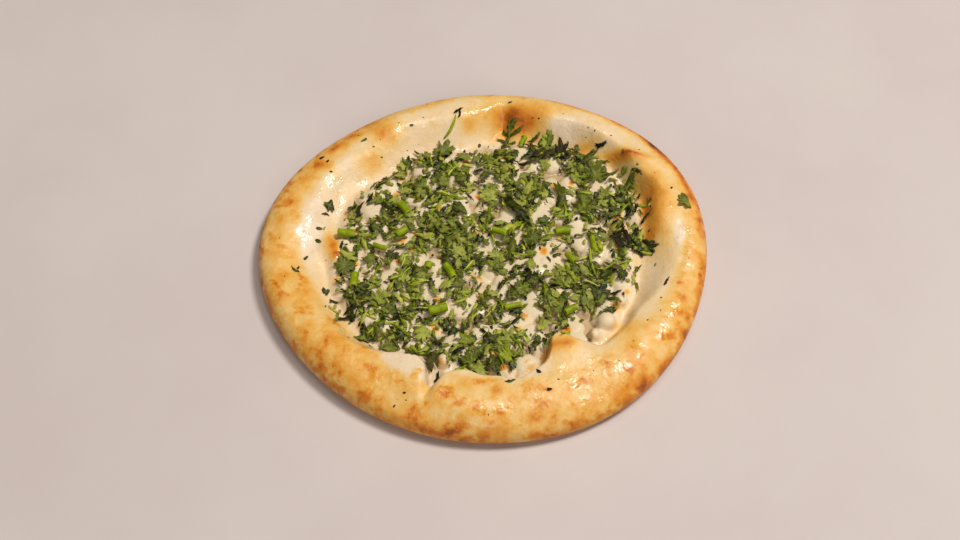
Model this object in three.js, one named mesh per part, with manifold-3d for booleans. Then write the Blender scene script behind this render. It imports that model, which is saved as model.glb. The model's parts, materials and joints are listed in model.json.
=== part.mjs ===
// Coriander naan: one round flatbread with a thick puffed rim and a pressed, bumpy middle, under a
// mat of chopped coriander. Millimetres, +Z up, +X to the right and +Y to the back of the bread as
// it lies. Z = 0 is the face that it rests on, and the origin is the middle of its outline's box.
import * as THREE from "three";
import { mergeVertices } from "three/addons/utils/BufferGeometryUtils.js";
import Module from "manifold-3d";

const wasm = await Module();
wasm.setup();

// The outline: a mean radius, made longer to both sides and drawn out a little at three, four and
// five places. "toward" is the direction of one such bulge, in degrees anticlockwise from the right.
const MEAN_RADIUS = 100.2;
const BULGES = [
  { count: 2, by: 4.7, toward: 3 },
  { count: 3, by: 2, toward: 45 },
  { count: 4, by: 0.4, toward: 9 },
  { count: 5, by: 0.7, toward: 24 },
];

// The rim in twelve places, one every 30 degrees anticlockwise from the right: how far in from the
// edge its crest stands and how high, where the pressed floor begins, how wide the slope down to
// that floor is, and how far from the middle the herbs reach.
const RIM = [
  { crestIn: 10, crestHigh: 14.5, floorIn: 33, slope: 20, herbsTo: 74 },
  { crestIn: 12, crestHigh: 16.5, floorIn: 25, slope: 9, herbsTo: 80 },
  { crestIn: 11, crestHigh: 15.2, floorIn: 27, slope: 14, herbsTo: 74 },
  { crestIn: 11, crestHigh: 15, floorIn: 30, slope: 18, herbsTo: 61 },
  { crestIn: 13, crestHigh: 15, floorIn: 33, slope: 17, herbsTo: 66 },
  { crestIn: 14, crestHigh: 13.5, floorIn: 36, slope: 18, herbsTo: 68 },
  { crestIn: 11, crestHigh: 14, floorIn: 33, slope: 13, herbsTo: 70 },
  { crestIn: 14, crestHigh: 15, floorIn: 28, slope: 13, herbsTo: 74 },
  { crestIn: 18, crestHigh: 16, floorIn: 31, slope: 5.5, herbsTo: 66 },
  { crestIn: 20, crestHigh: 16.5, floorIn: 31, slope: 4.2, herbsTo: 65 },
  { crestIn: 22, crestHigh: 16.5, floorIn: 33, slope: 4.6, herbsTo: 58 },
  { crestIn: 17, crestHigh: 14.5, floorIn: 28, slope: 6, herbsTo: 67 },
];
const EDGE_HIGH = 5; // the edge of the bread, above the table
const EDGE_ROUND = 2.3; // how square the rim's outer curve is: 2 is a plain ellipse
const UNDER_CURL = 12; // width of the underside's turned-up border
const PLATEAU_FALL = 1.2; // what the rim loses between its crest and its inner lip
const FLOOR_HIGH = 5.6;
const LEAST_HIGH = 4; // the thinnest that a hollow leaves the bread

// Lobes and notches of the inner lip: the direction and half width of each, in degrees, and how far
// it reaches in over the floor (a notch cuts back into the rim).
const LIPS = [
  { name: "front lobe", toward: 302.5, across: 7, inward: 14 },
  { name: "gap beside the lobe", toward: 314, across: 4, inward: -2 },
  { name: "front right flap", toward: 334, across: 6, inward: 2 },
  { name: "notch", toward: 251, across: 3.2, inward: -9 },
  { name: "front left lip", toward: 240, across: 7, inward: 4 },
  { name: "front lip", toward: 262, across: 5, inward: 2.5 },
  { name: "front hollow", toward: 281, across: 5, inward: -3 },
  { name: "left lobe", toward: 178, across: 7, inward: 3 },
  { name: "left back hollow", toward: 150, across: 9, inward: -3 },
  { name: "left front lobe", toward: 208, across: 8, inward: 2 },
  { name: "right back lobe", toward: 32, across: 6, inward: 3 },
  { name: "pleat's foot", toward: 66, across: 6, inward: 3 },
  { name: "back valley's foot", toward: 84, across: 4, inward: -4 },
  { name: "back lobe", toward: 100, across: 8, inward: 3 },
  { name: "back hollow", toward: 120, across: 6, inward: -2 },
];

// Folds, blisters and hollows of the dough: place, half length and half width of each, the
// direction of its long way in degrees, and its height (a hollow's is negative).
const FORMS = [
  { name: "back valley", x: 7, y: 71, long: 13, wide: 4.5, turn: 82, high: -4 },
  { name: "back right hump", x: 30, y: 78, long: 15, wide: 8, turn: -22, high: 1.8 },
  { name: "pleat", x: 66, y: 51.5, long: 14, wide: 3.6, turn: -17, high: 4 },
  { name: "pocket", x: 67, y: 36, long: 10, wide: 6.5, turn: 75, high: -2.5 },
  { name: "big blister", x: 80, y: 18, long: 16, wide: 6.8, turn: 97, high: 5.5 },
  { name: "left hollow", x: -84, y: -1, long: 12, wide: 6, turn: 85, high: -5 },
  { name: "left ridge", x: -72.5, y: 2, long: 10, wide: 4, turn: 105, high: 4 },
  { name: "front lobe's crown", x: 34, y: -56, long: 9, wide: 10, turn: 95, high: 2.2 },
  { name: "front left swell", x: -33, y: -70, long: 15, wide: 7, turn: -25, high: 1.4 },
  { name: "front right swell", x: 71, y: -50, long: 22, wide: 9, turn: 50, high: 1.4 },
  { name: "front swell", x: -5, y: -84, long: 14, wide: 8, turn: 0, high: 1 },
  { name: "left front swell", x: -65, y: -58, long: 14, wide: 8, turn: -45, high: 1 },
  { name: "left back swell", x: -51, y: 69, long: 16, wide: 7, turn: 35, high: 1 },
  { name: "right swell", x: 89, y: -20, long: 16, wide: 5, turn: 75, high: 0.8 },
  { name: "back left swell", x: -17, y: 79, long: 12, wide: 6, turn: 10, high: 1 },
  { name: "back right swell", x: 53, y: 67, long: 10, wide: 6, turn: -50, high: 1 },
  { name: "notch's foot", x: -24, y: -70, long: 8, wide: 2.4, turn: 72, high: -5 },
];

// Round beads of dough that stand clear at the front right of the floor.
const BEADS = [
  { x: 54, y: -38, radius: 4.5 },
  { x: 48.5, y: -45, radius: 3 },
  { x: 61, y: -27, radius: 3.6 },
  { x: 60, y: -13, radius: 3.2 },
  { x: 44, y: -33, radius: 2.8 },
  { x: -19, y: -58, radius: 3.2 },
];
const BEAD_LIFT = 2.8; // a bead's middle, above the floor

// The floor is pressed all over, which leaves it covered in pillow-shaped lumps that meet in
// creases. One stands in each square of this width, off its middle by up to "stray" of that.
const LUMP = { apart: 9.2, stray: 0.42, radius: [5, 8.6], high: [1.6, 3.4], round: 3, squeeze: 0.35 };
const SWELL = 0.5; // slow unevenness of the whole upper face

// The mesh: rings from the middle to the edge, the last few closer together.
const RINGS = 24;
const EDGE_STEPS = [0, 0.7, 2.4, 5.4, 9.4]; // distances of the outermost rings from the edge
const UNDER_STEPS = [3, UNDER_CURL];

// The herbs. "lift" is how far a piece's place in the mat varies in height, "fold" the rise from
// its middle line to its sides and "tilt" the rise from end to end, both as slopes.
const GAP = 0.35; // what lies on the bread keeps this far off it
const SIMPLER_BY = 0.1; // how far the joined mat's faces may move to leave out slivers
const HERB_SEED = 112;
const LEAF = { count: 143, thick: 1, long: [12, 18], lift: 0.3, fold: 0.2, tilt: 0.06 };
const WHOLE_SHARE = 0.45; // share of the leaf pieces that are whole leaflets
const CUT_SHARE = 0.35; // share that are cut across, and the rest are shreds
const STEM = { count: 15, thick: 3.6, long: [7, 14], lift: 0.2, tilt: 0.2, sides: 6 };
const BARE_RADIUS = 6; // dough shows through the herbs round each of these places
const BARE_PLACES = [
  [-6, 28], [11, 19], [35, 42], [47, 30], [-35, 34], [-41, 12], [-25, -4], [28, -3],
  [5, -12], [52, -3], [-49, -20], [-11, -36], [23, -36], [43, 52], [-55, 22], [9, 50],
];

const TURN = 2 * Math.PI;
const radians = (degrees) => (degrees * Math.PI) / 180;

// A smooth step from 0 at "from" to 1 at "to".
function step(from, to, value) {
  const t = Math.min(1, Math.max(0, (value - from) / (to - from)));
  return t * t * (3 - 2 * t);
}

// A repeatable number from 0 to 1 for a pair of whole numbers.
function scatter(i, j, salt = 0) {
  const wave = Math.sin(i * 127.1 + j * 311.7 + salt * 74.7) * 43758.5453;
  return wave - Math.floor(wave);
}

function outlineRadius(angle) {
  return BULGES.reduce(
    (radius, b) => radius + b.by * Math.cos(b.count * (angle - radians(b.toward))),
    MEAN_RADIUS,
  );
}

// One of the rim's measures at an angle, on a smooth closed curve through the twelve places.
function rimAt(key, angle) {
  const places = RIM.length;
  const along = (((angle / TURN) % 1) + 1) % 1;
  const first = Math.floor(along * places);
  const t = along * places - first;
  const [a, b, c, d] = [-1, 0, 1, 2].map((k) => RIM[(first + k + places) % places][key]);
  return b + 0.5 * t * (c - a + t * (2 * a - 5 * b + 4 * c - d + t * (3 * (b - c) + d - a)));
}

// The rise of a rounded edge, from 0 at its foot to 1 at its crest.
function roundedRise(share) {
  const t = Math.min(1, Math.max(0, share));
  return (1 - (1 - t) ** EDGE_ROUND) ** (1 / EDGE_ROUND);
}

// Height of the pressed floor's lumps, each an oval pillow.
function lumpHeight(x, y) {
  const column = Math.floor(x / LUMP.apart);
  const row = Math.floor(y / LUMP.apart);
  let height = 0;
  for (let i = column - 1; i <= column + 1; i++) {
    for (let j = row - 1; j <= row + 1; j++) {
      const dx = (i + 0.5 + LUMP.stray * (2 * scatter(i, j) - 1)) * LUMP.apart - x;
      const dy = (j + 0.5 + LUMP.stray * (2 * scatter(i, j, 1) - 1)) * LUMP.apart - y;
      const radius = LUMP.radius[0] + (LUMP.radius[1] - LUMP.radius[0]) * scatter(i, j, 2);
      const high = LUMP.high[0] + (LUMP.high[1] - LUMP.high[0]) * scatter(i, j, 3);
      const turn = Math.PI * scatter(i, j, 4);
      const along = dx * Math.cos(turn) + dy * Math.sin(turn);
      const across = (dy * Math.cos(turn) - dx * Math.sin(turn)) * (1 + LUMP.squeeze * scatter(i, j, 5));
      const share = Math.min(1, Math.hypot(along, across) / radius);
      height = Math.max(height, high * Math.sqrt(1 - share ** LUMP.round));
    }
  }
  return height;
}

// Where the floor begins at an angle, counted in from the edge.
function floorStart(angle) {
  return LIPS.reduce((sum, lip) => {
    const off = ((angle * 360) / TURN - lip.toward + 540) % 360 - 180;
    return sum + lip.inward * Math.exp(-((off / lip.across) ** 2));
  }, rimAt("floorIn", angle));
}

// What a fold, blister or hollow adds at a point.
function formHeight(form, x, y) {
  const turn = radians(form.turn);
  const along = (x - form.x) * Math.cos(turn) + (y - form.y) * Math.sin(turn);
  const across = (y - form.y) * Math.cos(turn) - (x - form.x) * Math.sin(turn);
  return form.high * Math.exp(-((along / form.long) ** 2) - (across / form.wide) ** 2);
}

function swellHeight(x, y) {
  return SWELL * (Math.sin(x / 13 + 1.3) * Math.sin(y / 17 + 0.4) + 0.8 * Math.sin(x / 7.1 + y / 9.3));
}

// Height of the bread's upper face above the table, where "lump" is the rise of its pressed floor.
function faceHeight(x, y, lump) {
  const angle = Math.atan2(y, x);
  const inward = Math.max(0, outlineRadius(angle) - Math.hypot(x, y));
  const crestIn = rimAt("crestIn", angle);
  const floorIn = floorStart(angle);
  const lip = rimAt("crestHigh", angle) - PLATEAU_FALL * step(crestIn, floorIn, inward);
  const down = step(floorIn - rimAt("slope", angle), floorIn, inward);
  const floor = FLOOR_HIGH + lump * step(floorIn - 3, floorIn + 4, inward);
  let height = EDGE_HIGH + (lip - EDGE_HIGH) * roundedRise(inward / crestIn);
  height += (floor - height) * down;
  const clear = step(0, 8, inward);
  height += clear * (swellHeight(x, y) + FORMS.reduce((sum, f) => sum + formHeight(f, x, y), 0));
  for (const bead of BEADS) {
    const away = Math.hypot(x - bead.x, y - bead.y);
    if (away < bead.radius) {
      height = Math.max(height, FLOOR_HIGH + BEAD_LIFT + Math.sqrt(bead.radius ** 2 - away ** 2));
    }
  }
  return Math.max(height, inward > UNDER_CURL ? LEAST_HIGH : 0);
}

function topHeight(x, y) {
  return faceHeight(x, y, lumpHeight(x, y));
}

// Height of what lies across the tops of the lumps.
function coverHeight(x, y) {
  return faceHeight(x, y, LUMP.high[1]) + GAP;
}

// Height of the underside, which turns up to meet the upper face at the edge.
function underHeight(inward) {
  return EDGE_HIGH * (1 - roundedRise(inward / UNDER_CURL));
}

// Point (i, j) of a square grid wrapped into the round outline, as [x, y]. Ring k of the grid is
// the square of points with max(|i|, |j|) = k, and it becomes a ring of the bread.
function wrapped(i, j) {
  const ring = Math.max(Math.abs(i), Math.abs(j));
  if (ring === 0) return [0, 0];
  const angle =
    Math.abs(i) >= Math.abs(j)
      ? (Math.PI / 4) * (j / i) + (i < 0 ? Math.PI : 0)
      : Math.PI / 2 - (Math.PI / 4) * (i / j) + (j < 0 ? Math.PI : 0);
  const edge = outlineRadius(angle);
  const last = EDGE_STEPS.length - 1;
  const radius =
    ring >= RINGS - last
      ? edge - EDGE_STEPS[RINGS - ring]
      : (edge - EDGE_STEPS[last]) * (ring / (RINGS - last));
  return [radius * Math.cos(angle), radius * Math.sin(angle)];
}

// The closed solid between the bread's upper face, raised by "raise", and its underside.
function doughSolid(raise = 0) {
  const points = [];
  const faces = [];
  const width = 2 * RINGS + 1;
  const top = (i, j) => (i + RINGS) * width + (j + RINGS);
  for (let i = -RINGS; i <= RINGS; i++) {
    for (let j = -RINGS; j <= RINGS; j++) {
      const [x, y] = wrapped(i, j);
      points.push([x, y, topHeight(x, y) + raise]);
    }
  }
  for (let i = -RINGS; i < RINGS; i++) {
    for (let j = -RINGS; j < RINGS; j++) {
      const [a, b, c, d] = [top(i, j), top(i + 1, j), top(i + 1, j + 1), top(i, j + 1)];
      const slantsOutward = i < 0 === j < 0;
      faces.push(...(slantsOutward ? [[a, b, c], [a, c, d]] : [[a, b, d], [b, c, d]]));
    }
  }
  const border = borderOfGrid().map(([i, j]) => top(i, j));
  let outer = border;
  for (const inward of UNDER_STEPS) {
    const inner = border.map((corner) => {
      const [x, y] = points[corner];
      const share = 1 - inward / Math.hypot(x, y);
      return points.push([x * share, y * share, underHeight(inward)]) - 1;
    });
    inner.forEach((corner, k) => {
      const next = (k + 1) % inner.length;
      faces.push([outer[k], corner, inner[next]], [outer[k], inner[next], outer[next]]);
    });
    outer = inner;
  }
  const middle = points.push([0, 0, 0]) - 1;
  outer.forEach((corner, k) => faces.push([corner, middle, outer[(k + 1) % outer.length]]));
  return solidFrom(points, faces);
}

// The grid's border points in order, anticlockwise from the middle of its right side.
function borderOfGrid() {
  const n = RINGS;
  const border = [];
  for (let j = -n; j < n; j++) border.push([n, j]);
  for (let i = n; i > -n; i--) border.push([i, n]);
  for (let j = n; j > -n; j--) border.push([-n, j]);
  for (let i = -n; i < n; i++) border.push([i, -n]);
  return border;
}

function solidFrom(points, faces) {
  const mesh = new wasm.Mesh({
    numProp: 3,
    vertProperties: new Float32Array(points.flat()),
    triVerts: new Uint32Array(faces.flat()),
  });
  return new wasm.Manifold(mesh);
}

// A chopped leaf: a thin wavy solid whose two faces are fans of triangles, alike. "outline" holds
// its corners as [along, across] shares of its length, and "leaf" says where and how it lies.
function leafSolid(outline, leaf) {
  const lay = slopeOf(leaf.x, leaf.y);
  const corners = [[0, 0], ...outline].map(([u, v]) => {
    const along = u * leaf.long;
    const across = v * leaf.long;
    const dx = along * Math.cos(leaf.turn) - across * Math.sin(leaf.turn);
    const dy = along * Math.sin(leaf.turn) + across * Math.cos(leaf.turn);
    const wave = leaf.fold * Math.abs(across) + leaf.tilt * along;
    return [leaf.x + dx, leaf.y + dy, lay.high + lay.alongX * dx + lay.alongY * dy + leaf.lift + wave];
  });
  const under = corners.map(([x, y, z]) => [x, y, z - LEAF.thick]);
  const count = corners.length;
  const faces = [];
  for (let k = 1; k < count; k++) {
    const next = k === count - 1 ? 1 : k + 1;
    faces.push([0, k, next], [count, count + next, count + k]);
    faces.push([k, count + k, count + next], [k, count + next, next]);
  }
  return solidFrom([...corners, ...under], faces);
}

// The plane that a leaf at this place lies in: its height there, and its rise along X and Y.
function slopeOf(x, y) {
  const reach = 4;
  const [left, right] = [coverHeight(x - reach, y), coverHeight(x + reach, y)];
  const [front, back] = [coverHeight(x, y - reach), coverHeight(x, y + reach)];
  return {
    high: Math.max(coverHeight(x, y), (left + right) / 2, (front + back) / 2),
    alongX: (right - left) / (2 * reach),
    alongY: (back - front) / (2 * reach),
  };
}

// A fan-shaped coriander leaflet with toothed lobes, and what a knife leaves of one.
const LEAFLET = [
  [-0.5, 0], [0.02, -0.42], [0.18, -0.2], [0.5, -0.26], [0.5, 0.2], [0.18, 0.18], [-0.04, 0.42],
];
const CUT_LEAF = [[-0.5, -0.1], [0.06, -0.34], [0.14, -0.14], [0.5, -0.2], [0.38, 0.16], [-0.3, 0.24]];
const SHRED = [[-0.5, -0.06], [0.1, -0.16], [0.5, 0], [-0.1, 0.16]];

// A cut length of stem lying on the herbs.
function stemSolid(stem) {
  const geometry = new THREE.CylinderGeometry(
    STEM.thick / 2, STEM.thick / 2, stem.long, STEM.sides, 1,
  );
  geometry.rotateX(stem.tilt);
  geometry.rotateZ(stem.turn);
  const middle = coverHeight(stem.x, stem.y) + STEM.lift + STEM.thick / 2;
  geometry.translate(stem.x, stem.y, middle);
  return solidOf(geometry);
}

// A closed three.js geometry as a manifold-3d solid.
function solidOf(geometry) {
  const bare = new THREE.BufferGeometry();
  bare.setAttribute("position", geometry.getAttribute("position"));
  bare.setIndex(geometry.index);
  const merged = mergeVertices(bare, 1e-4);
  return new wasm.Manifold(
    new wasm.Mesh({
      numProp: 3,
      vertProperties: merged.attributes.position.array,
      triVerts: new Uint32Array(merged.index.array),
    }),
  );
}

function geometryOf(solid) {
  const mesh = solid.getMesh();
  const geometry = new THREE.BufferGeometry();
  geometry.setAttribute("position", new THREE.BufferAttribute(mesh.vertProperties, 3));
  geometry.setIndex(new THREE.BufferAttribute(mesh.triVerts, 1));
  geometry.computeVertexNormals();
  return geometry;
}

// Place n of "count" spread evenly over the herbs' region by the golden angle, or null where the
// dough is left bare.
function herbPlace(n, count, salt) {
  const golden = Math.PI * (3 - Math.sqrt(5));
  const angle = n * golden + 0.4 * scatter(n, salt, 3);
  const reach = rimAt("herbsTo", angle) - LEAF.long[0] / 3;
  const radius = reach * Math.sqrt((n + 0.3 + 0.4 * scatter(n, salt, 4)) / count);
  const x = radius * Math.cos(angle);
  const y = radius * Math.sin(angle);
  const bare = BARE_PLACES.some(([bx, by]) => Math.hypot(x - bx, y - by) < BARE_RADIUS);
  return bare ? null : { x, y };
}

// A number from "low" to "high", or from -range to range, drawn by a piece's number and a salt.
const between = ([low, high], n, salt) => low + (high - low) * scatter(n, salt);
const eitherWay = (range, n, salt) => range * (2 * scatter(n, salt) - 1);

function largestOf(solid) {
  return solid.decompose().reduce((a, b) => (a.volume() > b.volume() ? a : b));
}

// The mat of chopped leaves and stems, joined where they touch and trimmed clear of the dough.
function herbMat(dough) {
  const pieces = [];
  for (let n = 0; n < LEAF.count; n++) {
    const place = herbPlace(n, LEAF.count, HERB_SEED);
    if (!place) continue;
    const kind = scatter(n, 6);
    const outline = kind < WHOLE_SHARE ? LEAFLET : kind < WHOLE_SHARE + CUT_SHARE ? CUT_LEAF : SHRED;
    pieces.push(
      leafSolid(outline, {
        ...place,
        long: between(LEAF.long, n, 7),
        turn: TURN * scatter(n, HERB_SEED + 100),
        lift: LEAF.thick + LEAF.lift * scatter(n, 9),
        fold: eitherWay(LEAF.fold, n, 15),
        tilt: eitherWay(LEAF.tilt, n, 10),
      }),
    );
  }
  for (let n = 0; n < STEM.count; n++) {
    const place = herbPlace(n + 0.5, STEM.count, 11);
    if (!place) continue;
    pieces.push(
      stemSolid({
        ...place,
        long: between(STEM.long, n, 12),
        turn: TURN * scatter(n, 13),
        tilt: eitherWay(STEM.tilt, n, 14),
      }),
    );
  }
  return largestOf(wasm.Manifold.union(pieces).subtract(dough).simplify(SIMPLER_BY));
}

// Herbs that lie apart from the mat, each on the dough by itself.
const LOOSE_HERBS = [
  { name: "leaf_back", outline: LEAFLET, x: 12, y: 72, long: 14, turn: 80 },
  { name: "shred_back", outline: SHRED, x: -17, y: 71, long: 12, turn: 60 },
  { name: "leaf_right_rim", outline: CUT_LEAF, x: 94, y: 24, long: 9, turn: -20 },
  { name: "flake_left_back", outline: SHRED, x: -76, y: 21, long: 5, turn: 15 },
  { name: "flake_left_front", outline: SHRED, x: -88, y: -13, long: 5, turn: 150 },
  { name: "flake_right", outline: SHRED, x: 82, y: -20, long: 5, turn: 60 },
  { name: "flake_front", outline: SHRED, x: 10, y: -73, long: 5, turn: 10 },
  { name: "flake_back_left", outline: SHRED, x: -59, y: 62, long: 5, turn: 30 },
];

const CRUST = new THREE.MeshStandardMaterial({ color: 0xe9bd78, roughness: 0.45, metalness: 0 });
const GREENS = new THREE.MeshStandardMaterial({ color: 0x55752f, roughness: 0.55, metalness: 0 });

function named(name, solid, material) {
  const mesh = new THREE.Mesh(geometryOf(solid), material);
  mesh.name = name;
  return mesh;
}

function buildNaan() {
  const dough = doughSolid();
  const raised = doughSolid(GAP);
  const naan = new THREE.Group();
  naan.add(named("naan_bread", dough, CRUST));
  naan.add(named("chopped_coriander", herbMat(raised), GREENS));
  for (const herb of LOOSE_HERBS) {
    const lie = { turn: radians(herb.turn), lift: LEAF.thick, fold: LEAF.fold, tilt: 0 };
    const leaf = leafSolid(herb.outline, { ...herb, ...lie });
    naan.add(named(herb.name, largestOf(leaf.subtract(raised)), GREENS));
  }
  const box = new THREE.Box3().setFromObject(naan);
  naan.position.set(-(box.min.x + box.max.x) / 2, -(box.min.y + box.max.y) / 2, 0);
  return naan;
}

export default buildNaan();
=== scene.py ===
"""Coriander naan: a round flatbread with a puffed, glazed rim and a pressed middle under chopped herbs.

Sizes in the classes are millimetres and Blender's are metres. +X is the bread's right, +Y its back
and +Z up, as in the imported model. The bread's own measures count from the middle of its outline.
"""
import json
import logging
import math
from collections.abc import Iterable
from dataclasses import dataclass
from enum import Enum

import bpy
import numpy as np
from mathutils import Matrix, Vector

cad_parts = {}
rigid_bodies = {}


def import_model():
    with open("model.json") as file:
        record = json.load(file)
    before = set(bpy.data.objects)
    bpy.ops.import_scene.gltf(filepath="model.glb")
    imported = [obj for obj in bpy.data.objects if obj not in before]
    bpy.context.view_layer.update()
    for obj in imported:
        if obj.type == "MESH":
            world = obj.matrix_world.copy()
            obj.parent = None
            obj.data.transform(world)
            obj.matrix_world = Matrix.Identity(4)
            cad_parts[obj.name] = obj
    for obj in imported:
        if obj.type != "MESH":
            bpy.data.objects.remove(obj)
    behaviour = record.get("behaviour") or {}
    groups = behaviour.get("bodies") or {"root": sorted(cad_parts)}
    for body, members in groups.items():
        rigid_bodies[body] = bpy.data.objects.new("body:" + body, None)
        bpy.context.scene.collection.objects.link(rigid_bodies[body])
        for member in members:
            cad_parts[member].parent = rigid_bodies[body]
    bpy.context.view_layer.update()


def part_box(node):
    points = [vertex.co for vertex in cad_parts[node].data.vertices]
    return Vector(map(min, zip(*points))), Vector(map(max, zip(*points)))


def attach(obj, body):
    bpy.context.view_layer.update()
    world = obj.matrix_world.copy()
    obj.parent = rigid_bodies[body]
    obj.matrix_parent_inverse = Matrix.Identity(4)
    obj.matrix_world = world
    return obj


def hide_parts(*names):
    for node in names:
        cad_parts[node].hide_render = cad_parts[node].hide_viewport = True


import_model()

LOG = logging.getLogger("naan")
MM = 0.001
Array = np.ndarray
Colour = tuple[float, float, float, float]
Socket = bpy.types.NodeSocket
Solid = tuple[Array, list[Array], dict[str, Array]]


class Slot(Enum):
    """The record's material slots."""

    DOUGH = "baked_dough"
    LEAF = "coriander_leaf"


def srgb(red: float, green: float, blue: float) -> Colour:
    """A colour given as a screen shows it, from 0 to 1, as Blender's linear values."""
    shown = (red, green, blue)
    return tuple(((c + 0.055) / 1.055) ** 2.4 if c > 0.04045 else c / 12.92 for c in shown) + (1.0,)


def step(start: float | Array, end: float | Array, value: Array) -> Array:
    """A smooth step from 0 at start to 1 at end."""
    share = np.clip((value - start) / (end - start), 0.0, 1.0)
    return share * share * (3.0 - 2.0 * share)


def scatter(
    i: float | Array, j: float | Array, salt: float = 0.0, limits: tuple[float, float] = (0.0, 1.0)
) -> Array:
    """A repeatable number between two limits for each pair of whole numbers."""
    wave = np.sin(i * 127.1 + j * 311.7 + salt * 74.7) * 43758.5453
    return limits[0] + (limits[1] - limits[0]) * (wave - np.floor(wave))


def nearness(x: Array, y: Array, spot: tuple[float, float, float], power: float = 2.0) -> Array:
    """1 at the middle of a round spot, given by its place and radius, falling to 0 outside it."""
    return np.exp(-((np.hypot(x - spot[0], y - spot[1]) / spot[2]) ** power))


def turned(x: Array, y: Array, turn: float | Array) -> tuple[Array, Array]:
    """Places as seen along and across a direction given in radians."""
    return x * np.cos(turn) + y * np.sin(turn), y * np.cos(turn) - x * np.sin(turn)


def patches(x: Array, y: Array, size: float, salt: float) -> Array:
    """Smooth random patches.

    Args:
        x: Places along X.
        y: Places along Y.
        size: Width of a patch.
        salt: Picks one of many patterns.

    Returns:
        A value from 0 to 1 at each place.
    """
    i, j = np.floor(x / size), np.floor(y / size)
    u, v = step(0.0, 1.0, x / size - i), step(0.0, 1.0, y / size - j)
    near = scatter(i, j, salt) * (1 - u) + scatter(i + 1, j, salt) * u
    far = scatter(i, j + 1, salt) * (1 - u) + scatter(i + 1, j + 1, salt) * u
    return near * (1 - v) + far * v


def rough_patches(x: Array, y: Array, size: float, salt: float) -> Array:
    """Patches with finer ones on them, turned so that no rows line up.

    Args:
        x: Places along X.
        y: Places along Y.
        size: Width of the broadest patches.
        salt: Picks one of many patterns.

    Returns:
        A value from 0 to 1 at each place.
    """
    total = np.zeros_like(x)
    for octave, share in enumerate((0.52, 0.3, 0.18)):
        along, across = turned(x, y, 0.6 + 1.1 * octave)
        total = total + share * patches(along, across, size / 2.1**octave, salt + 3.7 * octave)
    return total


@dataclass(frozen=True)
class Bulge:
    """One way in which the outline is drawn out: how often round it, how far and toward where."""

    count: int
    by: float
    toward: float


@dataclass(frozen=True)
class Lip:
    """A lobe of the inner lip, or a notch where inward is negative; direction and width in degrees."""

    toward: float
    across: float
    inward: float


@dataclass(frozen=True)
class Fold:
    """A fold, blister or hollow: place, half length, half width, direction of its long way, height."""

    x: float
    y: float
    long: float
    wide: float
    turn: float
    high: float

    def share(self, x: Array, y: Array) -> Array:
        """How much of its height the form has at each place."""
        along, across = turned(x - self.x, y - self.y, math.radians(self.turn))
        return np.exp(-((along / self.long) ** 2) - (across / self.wide) ** 2)


@dataclass(frozen=True)
class Lumps:
    """The pillow-shaped lumps that pressing leaves in the floor, one in each square of a grid."""

    apart: float = 9.2
    stray: float = 0.42
    radius: tuple[float, float] = (5.0, 8.6)
    high: tuple[float, float] = (1.6, 3.4)
    roundness: float = 3.0
    squeeze: float = 0.35
    wander: float = 1.1
    wander_apart: float = 7.0
    plain_share: float = 0.66
    toasted_radius: float = 0.34

    def rise(self, x: Array, y: Array) -> tuple[Array, Array]:
        """Height of the lumps, and how near each place is to the middle of a lump that took colour.

        Args:
            x: Places along X.
            y: Places along Y.

        Returns:
            The height above the floor, and the colour's share from 0 to 1.
        """
        wx = x + self.wander * (2 * rough_patches(x, y, self.wander_apart, 41) - 1)
        wy = y + self.wander * (2 * rough_patches(x, y, self.wander_apart, 57) - 1)
        column, row = np.floor(wx / self.apart), np.floor(wy / self.apart)
        height, colour = np.zeros_like(x), np.zeros_like(x)
        for i, j in ((column + di, row + dj) for di in (-1, 0, 1) for dj in (-1, 0, 1)):
            dx = (i + 0.5 + self.stray * scatter(i, j, 0, (-1.0, 1.0))) * self.apart - wx
            dy = (j + 0.5 + self.stray * scatter(i, j, 1, (-1.0, 1.0))) * self.apart - wy
            radius = scatter(i, j, 2, self.radius)
            along, across = turned(dx, dy, scatter(i, j, 4, (0.0, np.pi)))
            across = across * (1 + self.squeeze * scatter(i, j, 5))
            share = np.minimum(1, np.hypot(along, across) / radius)
            one = scatter(i, j, 3, self.high) * np.sqrt(1 - share**self.roundness)
            off = np.hypot(dx + 1, dy - 1) / (self.toasted_radius * radius)
            took = (scatter(i, j, 6) > self.plain_share) * np.exp(-(off**2))
            colour = np.where(one > height, took, colour)
            height = np.maximum(height, one)
        return height, colour


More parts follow.
